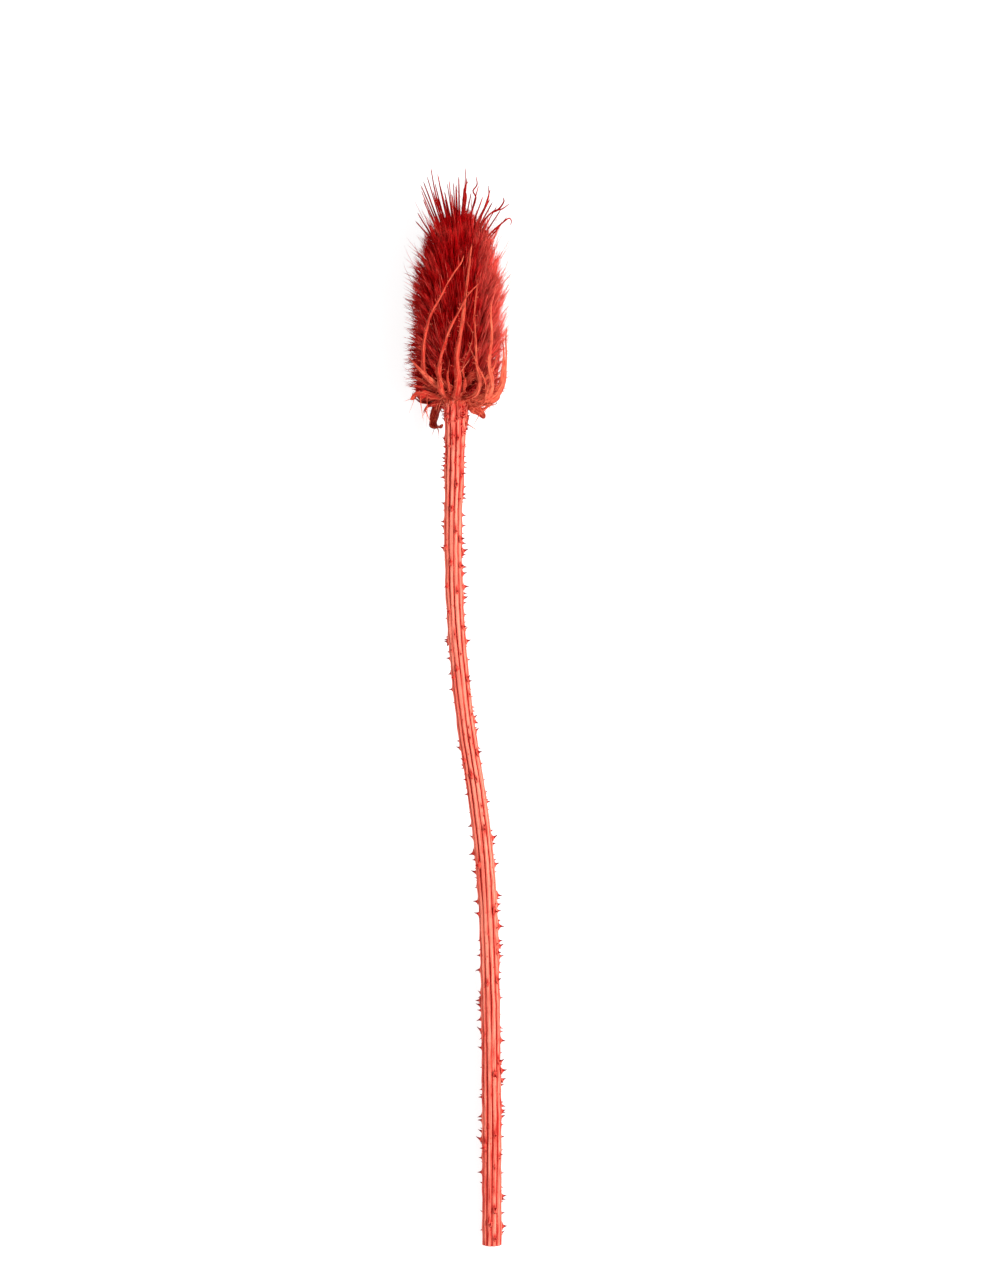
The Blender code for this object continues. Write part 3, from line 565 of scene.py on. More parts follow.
bracts = {
    "steps": 76, "shortSteps": 48,
    # half width and height of the keel, from root to tip
    "halfWidth": {
        "long": [(0, 1.2), (0.12, 2), (0.28, 1.5), (0.5, 0.9), (0.8, 0.55), (0.96, 0.36), (1, 0.08)],
        "leaf": [(0, 1.2), (0.14, 1.8), (0.38, 1.8), (0.6, 1.2), (0.8, 0.6), (0.92, 0.3), (1, 0.06)],
        "broad": [(0, 1.2), (0.3, 1.4), (0.62, 2), (0.86, 2.2), (0.96, 1.6), (1, 0.6)],
        "blunt": [(0, 1.2), (0.2, 1.7), (0.6, 1.6), (0.9, 1.3), (0.97, 0.9), (1, 0.4)]},
    "keel": {
        "long": [(0, 1.2), (0.1, 1.7), (0.28, 1.2), (0.55, 0.8), (0.85, 0.6), (0.96, 0.4), (1, 0.1)],
        "leaf": [(0, 1), (0.14, 1.2), (0.38, 1.1), (0.62, 0.8), (0.85, 0.4), (1, 0.08)]},
    "widthScale": {"loose": 0.5, "rightBroad": 1.15, "curled": 1.55, "broadLeft": 1.1, "underLeft": 0.8,
                   "spurRight": 1.35, "bandRight": 1.05, "rightSlim": 0.62, "leftLong": 0.78, "crossing": 0.8,
                   "frontThin": 0.45, "boatLeft": 0.95, "bandLeft": 1.1, "shelfLeft": 1, "lidRight": 0.85,
                   "leftSide": 0.8, "rightLow": 0.8},
    # each long one: azimuth in degrees, distance along the head's axis, distance from it
    "courses": {
        "leftLong": [(142, 0, 6.2), (137, 1.6, 10.8), (133, 4.2, 16.3), (132, 7, 19.6), (130, 12.5, 20.8),
                     (129, 20.5, 20.9), (121, 30.5, 21), (108, 39.5, 20.8), (96, 46.5, 20.2), (87, 51.5, 19.8),
                     (84, 55, 20.1)],
        "crossing": [(116, -1.2, 3.6), (114, -1.6, 10), (112, 0.4, 15.8), (110, 5.2, 20), (109, 9.5, 20.8),
                     (106, 16, 21), (99, 23.5, 21.3), (90, 30.5, 22.1), (81, 37.2, 22.9), (68, 43.6, 22.6)],
        "middleLong": [(88, -1.2, 3.6), (89, -2.6, 10), (89, -0.8, 16), (89, 5, 20.1), (89, 12, 20.7),
                       (86, 21, 20.8), (83, 31, 20.7), (80, 40, 20.4), (77, 49, 19.4), (71, 60, 17)],
        "rightSlim": [(55, -1.2, 3.6), (55, -2.6, 10), (57, -0.8, 16), (61, 4.5, 20), (65, 9, 20.6), (67, 15, 20.8),
                      (69, 23, 20.8), (69, 31.5, 20.7), (68, 39, 20.4), (65, 46.5, 19.4)],
        "loose": [(34, -4.4, 3.6), (37, -5.8, 10), (47, -4, 17.5), (57, 3, 22.6), (62, 7, 23), (70, 12, 23.2),
                  (78, 19, 23.6)],
        "rightBroad": [(19, -1.2, 3.6), (22, -2.6, 10), (33, -0.8, 16), (43, 4.5, 20.1), (48, 10, 20.7),
                       (48, 18, 20.9), (47, 28, 20.9), (48, 37, 20.6)],
        "rightSide": [(-13, -1.4, 3.6), (-8, -3.4, 10), (1, -2.8, 15), (8, 1, 19.1), (11, 6, 20.5), (13, 12, 20.9),
                      (14, 19, 21), (15, 27, 20.8)],
        "rightLow": [(-44, -1.4, 3.6), (-42, -4.6, 9.5), (-40, -6.4, 14), (-38, -3.4, 18), (-35, 2.5, 20),
                     (-34, 10, 20.4), (-33, 18, 20.5), (-34, 25, 20.4)],
        "curled": [(222, -3.4, 5), (222, -6.2, 9.4), (221, -10, 12), (218, -13.2, 11.4), (212, -14.2, 8.6),
                   (204, -13, 5.8)],
        "leftSide": [(190, -1.4, 3.6), (196, -3, 10), (203, -3.6, 15), (210, -0.2, 18.6), (216, 5.5, 20),
                     (219, 12, 20.4), (220, 20, 20.6), (219, 27, 20.4)],
        "blunt": [(278, -1.4, 3.6), (283, -4.6, 8.8), (290, -8.6, 10.6), (297, -12.4, 10)],
    },
    # those that fold back or lie across the base: across, along and up from the head's base
    "folded": {
        "boatLeft": [(-4.2, 0.4, 7), (-7.8, 2.4, 12.8), (-11.2, 4.8, 16.6), (-14, 7.6, 16.4), (-17, 10.8, 14.2),
                     (-19.8, 13.6, 11.4)],
        "bandLeft": [(-3.4, -0.6, 3), (-8, 1.8, 8.4), (-12.4, 3.6, 11.6), (-16, 4.8, 12.2), (-19.4, 5.8, 10.6)],
        "shelfLeft": [(-3.4, -1.2, 2), (-8.2, 0.2, 6), (-12.6, 1.4, 9), (-16.2, 1.9, 10), (-19.2, 1.4, 9)],
        "broadLeft": [(-3, -2.4, 1.6), (-7, -2.2, 5), (-11, -1.8, 7.4), (-14.4, -1.5, 8.4), (-16.6, -2, 7.8),
                      (-17.7, -3.6, 6.4)],
        "underLeft": [(-3.2, -3.6, 0.6), (-7.2, -4.4, 1.8), (-10.4, -5.4, 2.4), (-12.4, -7, 2.2),
                      (-13.4, -8.8, 1.8)],
        "lidRight": [(2.4, -0.4, 5), (3.6, 2.2, 10.4), (5.4, 4.8, 14.8), (7.8, 6.6, 17), (11.2, 7.4, 16.6)],
        "boatRight": [(2.6, -1.2, 2.6), (6.6, 1.8, 4.6), (10.2, 4, 6.8), (13.6, 7, 9.6), (15.6, 11, 11.6),
                      (16, 15, 12.2)],
        "bandRight": [(2.6, -2, 1.4), (8, -2.6, 3.4), (13, -2.4, 5), (16.6, 0, 6), (18.8, 4.6, 6.8),
                      (19.6, 10, 7.2), (19.4, 16, 7.6), (18.8, 22, 8.2)],
        "spurRight": [(3, -3, 0), (6.4, -5.4, 0.8), (9.8, -8, 1.4), (12.2, -10.2, 1.6)],
        "frontLow": [(-1, -0.8, 4), (-2.2, 1, 9.6), (-4.4, 3, 14.4), (-7.4, 6.4, 17.6), (-9, 10.6, 18.8)],
        "frontThin": [(1.8, -1, 4), (3.2, 0.4, 9.6), (3.6, 3.4, 15.2), (3.2, 7.4, 18.4), (3.2, 11, 19.6),
                      (4.2, 14, 20), (5.8, 17.8, 20.2), (6.4, 21.8, 20.4), (5.8, 24.6, 20.6), (4.4, 28.4, 20.8)],
    },
    # each short one: azimuth at its root and at its tip in degrees, lowest point, farthest from the axis,
    # height of the tip along the axis, width share
    "short": {"lowLeft": (200, 192, -5, 18.6, 0.6, 1.15), "frontMid": (103, 99, -0.8, 18.4, 13, 0.7),
              "frontRight": (74, 80, -0.6, 18.4, 8.5, 0.6), "lowRight": (4, -6, -5.2, 18.2, 1, 1),
              "underRight": (-26, -14, -6.6, 17.4, -3, 1.1), "backLeft": (240, 236, -3, 19.2, 9, 1),
              "backMid": (262, 268, -3.6, 16, 4, 0.9), "backRight": (304, 312, -2.6, 19, 11, 1)},
    "foot": [(-5.2, 3.2), (-3, 4.4)],  # where a bract's rib leaves the stem, along the head's axis and out from it
    # painted shade on the darker ones, which lie in the shade of the rest; painted light on the right side, where the
    # key lamp falls, less on some; and paler ones
    "paintedShade": {"curled": 0.48, "blunt": 0.34, "spurRight": 0.32, "bandLeft": 0.4, "shelfLeft": 0.34,
                 "underLeft": 0.44, "lidRight": 0.38, "broadLeft": 0.18, "lowLeft": 0.38, "lowRight": 0.36,
                 "underRight": 0.38, "frontMid": 0.25, "frontRight": 0.3},
    "litRight": 0.44, "paler": {"boatLeft": 0.30}, "redder": {"lidRight": 0.2},
    # broken hairs that hang from the bracts: from and to, across, along and up, and half thickness
    "hairs": [((-14.4, -1.8, 8), (-12.8, -13, 5), 0.26), ((-12, -2, 7.6), (-11.8, -15, 4), 0.18),
              ((-16.6, -2.2, 7.6), (-19.4, -9.6, 5.5), 0.18), ((-11.4, -5.8, 2.3), (-14, -11.2, 0.5), 0.28),
              ((-12.4, -7.2, 2.1), (-10, -12.8, 1), 0.26), ((10, -8.2, 1.4), (6.8, -14.4, 0.4), 0.2),
              ((3.4, -11.6, 2.2), (9.6, -15.6, 1.5), 0.3), ((13, -2.5, 5), (18.9, 1.9, 4), 0.2),
              ((14.2, -1.9, 5.3), (13.2, -9.2, 4.2), 0.24), ((11.6, -2.5, 4.6), (15, -7.2, 3.6), 0.22),
              ((8, -2.8, 3.3), (8.4, -10.6, 2.4), 0.2), ((-8.6, -13.4, -7), (-10.2, -18.4, -6), 0.18),
              ((-7.4, -14.2, -4.8), (-7, -19.8, -4.5), 0.22), ((-15.6, -1.6, 8.2), (-21.6, -4.4, 6.5), 0.18),
              ((-12.8, 6.4, 16.6), (-8.4, 3.6, 18.6), 0.2), ((0.8, 6, 20.2), (5.8, 13, 22), 0.24),
              ((-6.2, 2.4, 17), (-4.6, -2.2, 16.4), 0.22), ((-6.9, 6.2, 19), (-4.2, 1.6, 19.6), 0.22)],
    "baseTwistDeg": 62.0, "waverAcross": 0.00028, "waverOut": 0.00016,
    "prickleEvery": 0.0026, "prickleLength": (0.0008, 0.0026), "hairHalfWidth": 0.00017,
    # the boss they grow from: distance below the head's base and radius
    "boss": [(0.4, 4), (1.4, 5.2), (3.6, 5.4), (5.8, 4.4)],
    "bossBristles": 190, "longBits": 26,
}
# the folded section of a bract, keel outwards and hollow towards the head, and the shade painted on each point:
# painted shade deep in the hollow, a painted highlight on the keel
bractSection = np.array([(-1, 0.02), (-0.8, 0.26), (-0.5, 0.56), (-0.2, 0.88), (0, 1), (0.2, 0.88), (0.5, 0.56),
                         (0.8, 0.26), (1, 0.02), (0.74, -0.04), (0.4, 0.2), (0, 0.4), (-0.4, 0.2), (-0.74, -0.04)])
hollowShadeKeelLight = np.array([0.3, 0.24, 0.12, 0, -0.5, 0, 0.12, 0.24, 0.3, 0.5, 0.8, 0.95, 0.8, 0.5])
hairShape = [(0.0, 1.25, 1.25), (0.35, 0.72, 0.72), (0.75, 0.38, 0.38), (1.0, 0, 0)]
courses = dict(bracts["courses"])
for name, (azimuth, tipAzimuth, low, wide, top, size) in bracts["short"].items():
    bow = (tipAzimuth - azimuth) / 4
    courses[name] = [(azimuth, -1.4, 3.6), (azimuth + bow, low + 0.4, 9.0),
                     (azimuth + 2 * bow, low + 0.6, wide - 5.0), (azimuth + 3 * bow, low + 2.2, wide - 1.2),
                     (tipAzimuth - bow / 2, (low + top) / 2 + 1.0, wide), (tipAzimuth, top, wide - 0.8)]
    bracts["widthScale"][name] = size
places = {}
for name, course in courses.items():
    foot = [(course[0][0], *spot) for spot in bracts["foot"]]
    azimuth, along, radius = np.array(foot + course[0 if name == "curled" else 1:], float).T
    places[name] = headPoint(along * mm, radius * mm, np.radians(azimuth))
for name, course in bracts["folded"].items():
    course = np.array(course, float)
    foot = course[0] * (1.0, 0.0, 1.0) / np.linalg.norm(course[0][[0, 2]]) * 2.6 + (0, -3.6, 0)
    places[name] = inHead(np.vstack([foot, course]))


def kindOf(name):
    if name in ("spurRight", "blunt", "curled"):
        return "blunt"
    if name in ("broadLeft", "lidRight"):
        return "broad"
    return "long" if name in bracts["courses"] or name == "frontThin" else "leaf"


bractBasket = newBasket()
bractLine = {}
for name, points in places.items():
    path = smoothPath(points, bracts["steps"] if name in bracts["courses"] else bracts["shortSteps"])
    t = np.linspace(0, 1, len(path))
    length = lengthAlong(path)[-1]
    ahead = aheadOf(path)
    fromAxis = path - headBase
    radial = fromAxis - headAxis * (fromAxis @ headAxis)[:, None]
    toRight = unit(radial) @ headRight
    side = unit(np.cross(headAxis, radial))
    side = unit(side - ahead * np.sum(side * ahead, 1, keepdims=True))
    outer = np.cross(side, ahead)
    # a dried bract wavers a little
    for way, size in ((side, bracts["waverAcross"]), (outer, bracts["waverOut"])):
        path = path + way * (size * wander(3, t, pitches=[(6.0, 26.0)]) * np.minimum(1, t * 5))[:, None]
    scale = bracts["widthScale"].get(name, 1.0)
    kind = kindOf(name)
    leafy = name not in bracts["courses"] and name != "frontThin"
    thickness = (0.55 if kind == "broad" else 0.8 if leafy else 1) * scale ** 0.5
    half = reading(bracts["halfWidth"][kind], t) * mm * scale * (1 + 0.10 * wander(4, t, pitches=[(8.0, 60.0)]))
    keel = reading(bracts["keel"]["leaf" if leafy else "long"], t) * mm * thickness \
        * (1 + 0.10 * wander(4, t, pitches=[(8.0, 60.0)]))
    # at its root a bract lies half on its side, with its keel towards the upper side of the head
    twist = np.radians(bracts["baseTwistDeg"]) * toRight
    if name not in bracts["folded"]:
        twist = twist * np.clip((0.50 - t) / 0.25, 0, 1)
    roll = 0.28 * wander(2, t, pitches=[(2.0, 9.0)]) * np.minimum(1, t * 6) + twist
    sideR = side * np.cos(roll)[:, None] + outer * np.sin(roll)[:, None]
    outerR = outer * np.cos(roll)[:, None] - side * np.sin(roll)[:, None]
    rings = sweep(path - outerR * (keel * 0.45)[:, None], sideR, outerR, half, keel, bractSection)
    n = len(bractSection)
    # painted shade: in the hollow, near the root where the bracts crowd round the base, and over the whole of the
    # bracts that lie in the shade of the rest
    shadeAmount = bracts["paintedShade"].get(name, 0)
    rootShade = np.clip(1 - t * 5, 0, 1)
    shade = np.maximum(np.maximum(hollowShadeKeelLight[None], (0.28 * rootShade)[:, None]), shadeAmount or -1)
    shift = dice.uniform(0, 50), dice.uniform(0, 90)
    grain = np.stack([bractSection[None, :, 0] * half[:, None] * 1000 + shift[0],
                      np.repeat((t * length * 1000 + shift[1])[:, None], n, 1),
                      bractSection[None, :, 1] * keel[:, None] * 1000], -1)
    # painted light on the right side, where the key lamp falls, less on lidRight; painted shade makes the shaded
    # bracts and the roots redder and darker; the rest is the bract's own paleness
    pale = bracts["litRight"] * np.clip(toRight, 0, 1) * bracts["redder"].get(name, 1) + 0.12 * dice.random() \
        + bracts["paler"].get(name, 0) - 0.6 * shadeAmount - 0.22 * np.clip(1 - t * 4, 0, 1)
    pale = np.maximum(pale, (0.1 if leafy else 0.4) * np.clip((t - 0.8) / 0.2, 0, 1))
    putIn(bractBasket, rings, closedTube(len(path), n, flip=True), shade.ravel(), np.repeat(pale, n), grain)
    bractLine[name] = path
    # prickles down the keel and both margins
    count = max(7, int(length / bracts["prickleEvery"]))
    at = 0.04 + 0.86 * ((np.arange(count) + dice.random(count)) / count) ** 1.15
    ring = (at * (len(path) - 1)).astype(int)
    which = dice.choice([0, 4, 8], count, p=[0.34, 0.32, 0.34])
    roots, ahead, outward = rings[ring, which], ahead[ring], outerR[ring]
    aims = np.where((which == 4)[:, None], outward, np.where((which == 0)[:, None], -sideR[ring], sideR[ring]))
    aims = unit(aims + ahead * dice.uniform(-0.1, 0.6, (count, 1)) + outward * dice.uniform(0.0, 0.5, (count, 1))
                + dice.normal(0, 0.15, (count, 3)))
    lengths = (dice.uniform(*bracts["prickleLength"], count) * (1.2 - 0.7 * at))[:, None]
    keep = (roots + aims * lengths)[:, 2] > 0.0001
    bends = ahead * dice.normal(0.12, 0.16, (count, 1)) * lengths
    growStrands(bractBasket, (roots - aims * 0.0002)[keep], (aims * lengths)[keep], bends[keep], outward[keep],
                0.00018, 0.00018, hairShape, roundSection[4], np.zeros(keep.sum()))
    toneFromReach(bractBasket, 0.15, 0.65)

# the boss the bracts grow from, inside the stem's top
bossRun = np.linspace(0.0058, 0.0004, 14)
bossRadius = reading(bracts["boss"], bossRun / mm) * mm
bossDirection = headRight * np.cos(turns)[:, None] + headUp * np.sin(turns)[:, None]
bossShare = share[40][None] + 0.03 * wander(8, turnRow, bossRun[:, None] * 1000, pitches=[(3, 11), (0.3, 1.5)])
bossRings = (headBase - headAxis * bossRun[:, None])[:, None] \
    + bossDirection * (bossRadius[:, None] * bossShare)[..., None]
putIn(bractBasket, bossRings, closedTube(len(bossRun), sides), np.tile(shadeAndHighlight[40] * 0.8, len(bossRun)), 0.1,
      barkGrain(4, bossRun))
# bristles on it, longer broken bits that hang about the bracts' bends, and the hairs
count = bracts["bossBristles"]
ring, column = dice.integers(0, 12, count), dice.integers(0, sides, count)
aims = unit(bossDirection[column] + headAxis * dice.normal(-0.15, 0.45, (count, 1)) + dice.normal(0, 0.2, (count, 3)))
lengths = dice.uniform(0.0008, 0.0024, (count, 1))
roots, steps = [bossRings[ring, column] - aims * 0.0002], [aims * lengths]
bends = [dice.normal(0, 0.15, (count, 3)) * lengths]
names = list(bractLine)
for _ in range(bracts["longBits"]):
    path = bractLine[names[dice.integers(len(names))]]
    root = path[dice.integers(5, 20)]
    aim = unit(unit(root - headBase) * 0.8 - headAxis * dice.uniform(0.2, 1.4) + dice.normal(0, 0.35, 3))
    far = dice.uniform(0.0025, 0.0062)
    if (root + aim * far)[2] > 0.0003 and abs((root + aim * far)[0]) < 0.0222:
        roots.append(root[None]), steps.append(aim[None] * far), bends.append(dice.normal(0, 0.25, (1, 3)) * far)
thicknesses = [bracts["hairHalfWidth"]] * sum(map(len, roots)) + [half * mm for *_, half in bracts["hairs"]]
bractPoints = np.vstack(list(bractLine.values()))
for start, end, _ in bracts["hairs"]:
    start, end = inHead([start, end])
    # each starts inside the nearest bract, but one that grows from the stem
    off = np.linalg.norm(bractPoints - start, axis=1)
    start = bractPoints[off.argmin()] if off.min() < 0.004 else start
    bow = dice.normal(0, 0.0011, 3)
    roots.append(start[None]), steps.append((end - start - bow)[None]), bends.append(bow[None])
roots, steps, bends = np.vstack(roots), np.vstack(steps), np.vstack(bends)
growStrands(bractBasket, roots, steps, bends, np.tile(headAxis, (len(roots), 1)), thicknesses, thicknesses,
            hairShape, roundSection[4], np.zeros(len(roots)))
toneFromReach(bractBasket, 0.1, 1.0, top=0.95)
makePiece("bractWhorl", bractBasket, [bractFinish], ["bracts"])


# Head: a dark core, tufts of fine fur with a stiff spine in each, loose hairs, the crown's bristles

head = {
    # place along the axis with the core's radius and with the reach of the spines
    "core": [(0.2, 4.4), (0.6, 9.4), (3, 10.8), (8, 11.9), (20, 12.4), (34, 12.2), (45, 11.2), (55, 9), (62.5, 6.2),
             (67.2, 3.4), (69, 1.6)],
    "outline": [(-4, 17.8), (0, 19.4), (4, 20.4), (10, 21), (41, 21), (49, 20), (57, 18.2), (62, 16.2), (67, 12.8),
                (70.5, 8.8), (73, 5), (75, 1)],
    # how far a spine leans from straight out towards the crown, in degrees, at the left, right and upper side
    "leanLeft": [(0, -14), (8, -4), (20, 3), (34, 12), (42, 27), (50, 40), (58, 51), (64, 62), (67, 73), (69, 84)],
    "leanRight": [(0, -10), (6, 10), (15, 27), (30, 37), (45, 43), (55, 48), (62, 56), (66, 68), (69, 84)],
    "leanUpper": [(0, 8), (6, 34), (15, 48), (30, 55), (45, 60), (55, 64), (62, 69), (66, 76), (69, 86)],
    "coreRings": 110, "coreSides": 96, "coreEnds": (0.0002, 0.0690), "socketDepth": 0.00022,
    "tufts": 600, "strands": 12, "loose": 1000, "baseTufts": 130, "fineStrands": 8800,
    "goldenAngle": 2.399963, "longest": 0.0130, "tuftSpread": 0.00105, "strayShare": 0.16,
    # how near a bract a tuft, the finer fur and a loose hair may come
    "tuftGap": 0.0012, "fineGap": 0.0010, "looseGap": 0.0009,
}
strandShape = [(0.0, 1.2, 1.2), (0.35, 1, 1), (0.65, 0.8, 0.8), (0.87, 0.5, 0.5), (1.0, 0, 0)]
looseShape = [(0.0, 1, 1), (0.3, 1, 1), (0.6, 0.85, 0.85), (0.85, 0.6, 0.6), (1.0, 0, 0)]
scaleShape = [(0, 0.9, 1), (0.12, 1, 1), (0.26, 0.78, 0.9), (0.4, 0.46, 0.75), (0.58, 0.29, 0.5), (0.8, 0.19, 0.32),
              (1, 0, 0)]
scaleSection = [(-1.0, -0.15), (0.0, -0.45), (1.0, -0.15), (0.0, 1.0)]

# a tree of points on the bracts, so that no spine pokes through one
bractTree = kdtree.KDTree(len(bractPoints))
for n, p in enumerate(bractPoints):
    bractTree.insert(p, n)
bractTree.balance()


def coreRadius(along):
    return reading(head["core"], along / mm) * mm


def leanAt(along, azimuth):
    right = np.clip(np.cos(azimuth), 0, 1) ** 2
    left = np.clip(-np.cos(azimuth), 0, 1) ** 2
    # round the upper side of the base they bend away, and leave a dark hollow behind the bracts
    away = 26 * np.clip(1 - along / 0.0055, 0, 1) * np.clip(np.sin(azimuth) * 2.2 - 0.3, 0, 1)
    return (right * reading(head["leanRight"], along / mm) + left * reading(head["leanLeft"], along / mm)
            + np.sin(azimuth) ** 2 * reading(head["leanUpper"], along / mm) + away)


def swerve(along, azimuth, smooth, scatter):
    # how far each one strays from its lean or turn, in degrees
    return smooth * wander(7, azimuth, along, pitches=[(1, 6), (90.0, 420.0)]) + dice.normal(0, scatter, len(along))


def aimed(turn, lean):
    return outwards(turn) * np.cos(lean)[:, None] + headAxis * np.sin(lean)[:, None]


def drynessAndLightAt(along, azimuth):
    # painted light: the right flank, where the key lamp falls, is paler, less so towards the crown, and so is the
    # lower part of the head, against the shade there, most on its upper left side; the left flank is a little paler
    right = np.clip((np.cos(azimuth) - 0.48) / 0.34, 0, 1)
    left = np.clip(-np.cos(azimuth) - 0.40, 0, 1)
    high = np.clip((along - 0.050) / 0.015, 0, 1)
    low = np.clip(1 - along / 0.034, 0, 1) * np.clip((along - 0.002) / 0.006, 0, 1)
    base = 0.13 + 0.12 * np.exp(-((azimuth - 2.1) / 0.30) ** 2)
    return (0.95 * right + 0.20 * left) * (1 - 0.75 * high) + base * low


def ownTones(drynessAndLight, rare):
    # each strand's own draw about the dryness and painted light of its place, and a few dry ones anywhere
    count = len(drynessAndLight)
    own = dice.normal(0, 1, count) * (0.03 + 0.22 * drynessAndLight)
    return np.clip(drynessAndLight + own + 0.5 * (dice.random(count) < rare), 0, 1)


def clearOfBracts(roots, steps, bends, clearance):
    # the share of each strand's length that keeps clear of every bract
    keep = np.ones(len(roots))
    for n in range(len(roots)):
        for _ in range(9):
            k = keep[n]
            spots = (roots[n] + steps[n] * k * 0.7 + bends[n] * k * 0.49, roots[n] + steps[n] * k + bends[n] * k)
            if all(bractTree.find(p)[2] > clearance for p in spots):
                break
            keep[n] *= 0.88
    return keep[:, None]


# core: shallow sockets in the spiral of the scales
rows, columns = head["coreRings"], head["coreSides"]
s = np.linspace(*head["coreEnds"], rows)[:, None]
theta = np.arange(columns)[None] / columns * math.tau
dents = head["socketDepth"] * np.sin(theta * 21 + s * 1500) * np.sin(theta * 13 - s * 1900)
radius = coreRadius(s) + dents * np.clip(coreRadius(s) / 0.004, 0, 1)
coreBasket = newBasket()
putIn(coreBasket, headPoint(s, radius, theta), closedTube(rows, columns), 0.3, dice.random(rows * columns))
makePiece("headCore", coreBasket, [coreFinish], ["head"])

# tufts, evenly spread and turned by the golden angle
count = head["tufts"]
s = np.linspace(0.0006, 0.0685, 400)
spread = np.cumsum(coreRadius(s) + 0.0012)
along = np.interp((np.arange(count) + 0.5) / count * (spread[-1] - spread[0]) + spread[0], spread, s)
azimuth = (np.arange(count) * head["goldenAngle"]) % math.tau
foot = coreRadius(along)
roots = headPoint(along, foot - 0.0004, azimuth)
lean = np.radians(leanAt(along, azimuth) + swerve(along, azimuth, 5.0, 5.0))
turn = azimuth + np.radians(swerve(along, azimuth, 5.0, 4.0))
aims, upward = aimed(turn, lean), aimed(turn, lean + math.pi / 2)
curl = upward * (0.10 + 0.24 * np.clip(np.cos(azimuth), 0, 1) + dice.normal(0, 0.08, count))[:, None] \
    + dice.normal(0, 0.04, (count, 3))
lengths = np.full(count, 0.009)
shortest = reading([(58, 5.5), (66, 3.6)], along / mm) * mm
for _ in range(9):  # until the tips reach the head's outline
    tips = roots + lengths[:, None] * (aims + curl) - headBase
    s = tips @ headAxis
    out = np.linalg.norm(tips - headAxis * s[:, None], axis=1)
    room = (reading(head["outline"], s / mm) * mm - foot) / np.maximum(out - foot, 0.001)
    lengths = np.clip(lengths * np.clip(room, 0.7, 1.3), shortest, head["longest"])
lengths *= (1.03 - 0.26 * dice.random(count) ** 1.4) \
    * (1 + 0.10 * np.clip(wander(8, azimuth, along, pitches=[(2, 9), (150.0, 600.0)]), -1.6, 1.2))
lengths *= 1 + 0.80 * np.clip((along - 0.048) / 0.008, 0, 1) * dice.random(count) ** 2.6  # the crown is ragged
# more tufts round the base disc, which fill the space behind the bracts
count = head["baseTufts"]
baseRadius = np.sqrt(dice.uniform(0.0048 ** 2, 0.0100 ** 2, count))
baseTurn = dice.uniform(0, math.tau, count)
baseLean = np.radians(dice.uniform(-26, -2, count))
along = np.append(along, np.full(count, 0.0006))
azimuth = np.append(azimuth, baseTurn)
roots = np.vstack([roots, headPoint(0.0007, baseRadius, baseTurn)])
aims = np.vstack([aims, aimed(baseTurn, baseLean)])
curl = np.vstack([curl, headAxis * 0.22 + dice.normal(0, 0.08, (count, 3))])
baseReach = dice.uniform(0.0155, 0.0185, count) - 0.0060 * np.clip(np.sin(baseTurn) * 2.2 - 0.3, 0, 1)
lengths = np.append(lengths, np.maximum(baseReach - baseRadius, 0.002) / np.cos(baseLean))
steps, bends = aims * lengths[:, None], curl * lengths[:, None]
keep = clearOfBracts(roots, steps, bends, head["tuftGap"])
steps, bends = steps * keep, bends * keep ** 2
drynessAndLight = drynessAndLightAt(along, azimuth)

furBasket = newBasket()
pick = np.repeat(np.arange(len(along)), head["strands"])
count = len(pick)
strandRoots = roots[pick]
for way in (unit(np.cross(headAxis, outwards(azimuth)))[pick], headAxis):
    strandRoots = strandRoots + way * dice.normal(0, head["tuftSpread"], (count, 1))
stray = np.where(dice.random(count) < head["strayShare"], 0.0011, 0.00028)[:, None]
ends = (roots + steps + bends)[pick] + dice.normal(0, 1, (count, 3)) * stray
shorter = dice.uniform(0.72, 1.0, (count, 1))
strandBends = bends[pick] * dice.uniform(0.5, 1.5, (count, 1)) + dice.normal(0, 0.00030, (count, 3))
strandSteps = (ends - strandRoots) * shorter - strandBends
tones = ownTones(drynessAndLight[pick], 0.035)
halfWidths = dice.uniform(0.00010, 0.00017, count) + 0.00008 * (tones > drynessAndLight[pick] + 0.25)
growStrands(furBasket, strandRoots, strandSteps, strandBends, outwards(azimuth)[pick], halfWidths, 0.00012,
            strandShape, roundSection[3], tones)
makePiece("furTufts", furBasket, [furFinish], ["head"])

# finer fur between the tufts, which lies more along the head
count = head["fineStrands"]
near = np.clip(dice.random(count) ** 0.95 * 0.068 + 0.0006, 0, 0.0686)
turn = dice.uniform(0, math.tau, count)
fineRoots = headPoint(near, coreRadius(near) - 0.0002, turn)
fineLean = np.radians(leanAt(near, turn) + 9 + swerve(near, turn, 6.0, 8.0))
fineTurn = turn + np.radians(swerve(near, turn, 6.0, 8.0))
gap = reading(head["outline"], near / mm) * mm - coreRadius(near)
fineLengths = np.clip(gap / np.maximum(np.cos(fineLean), 0.35), 0.0030, 0.0120)
fineLengths = np.minimum(fineLengths, (0.0735 - near) / np.clip(np.sin(fineLean), 0.1, 1))
fineLengths *= dice.uniform(0.55, 0.92, count)
fineBends = (headAxis * dice.normal(0.14, 0.10, (count, 1)) + dice.normal(0, 0.07, (count, 3))) * fineLengths[:, None]
fineSteps = aimed(fineTurn, fineLean) * fineLengths[:, None]
free = clearOfBracts(fineRoots, fineSteps, fineBends, head["fineGap"])
fineBasket = newBasket()
growStrands(fineBasket, fineRoots, fineSteps * free, fineBends * free ** 2, outwards(turn),
            dice.uniform(0.00008, 0.00014, count), 0.00010, strandShape, roundSection[3],
            ownTones(drynessAndLightAt(near, turn), 0.025))
makePiece("furFine", fineBasket, [furFinish], ["head"])

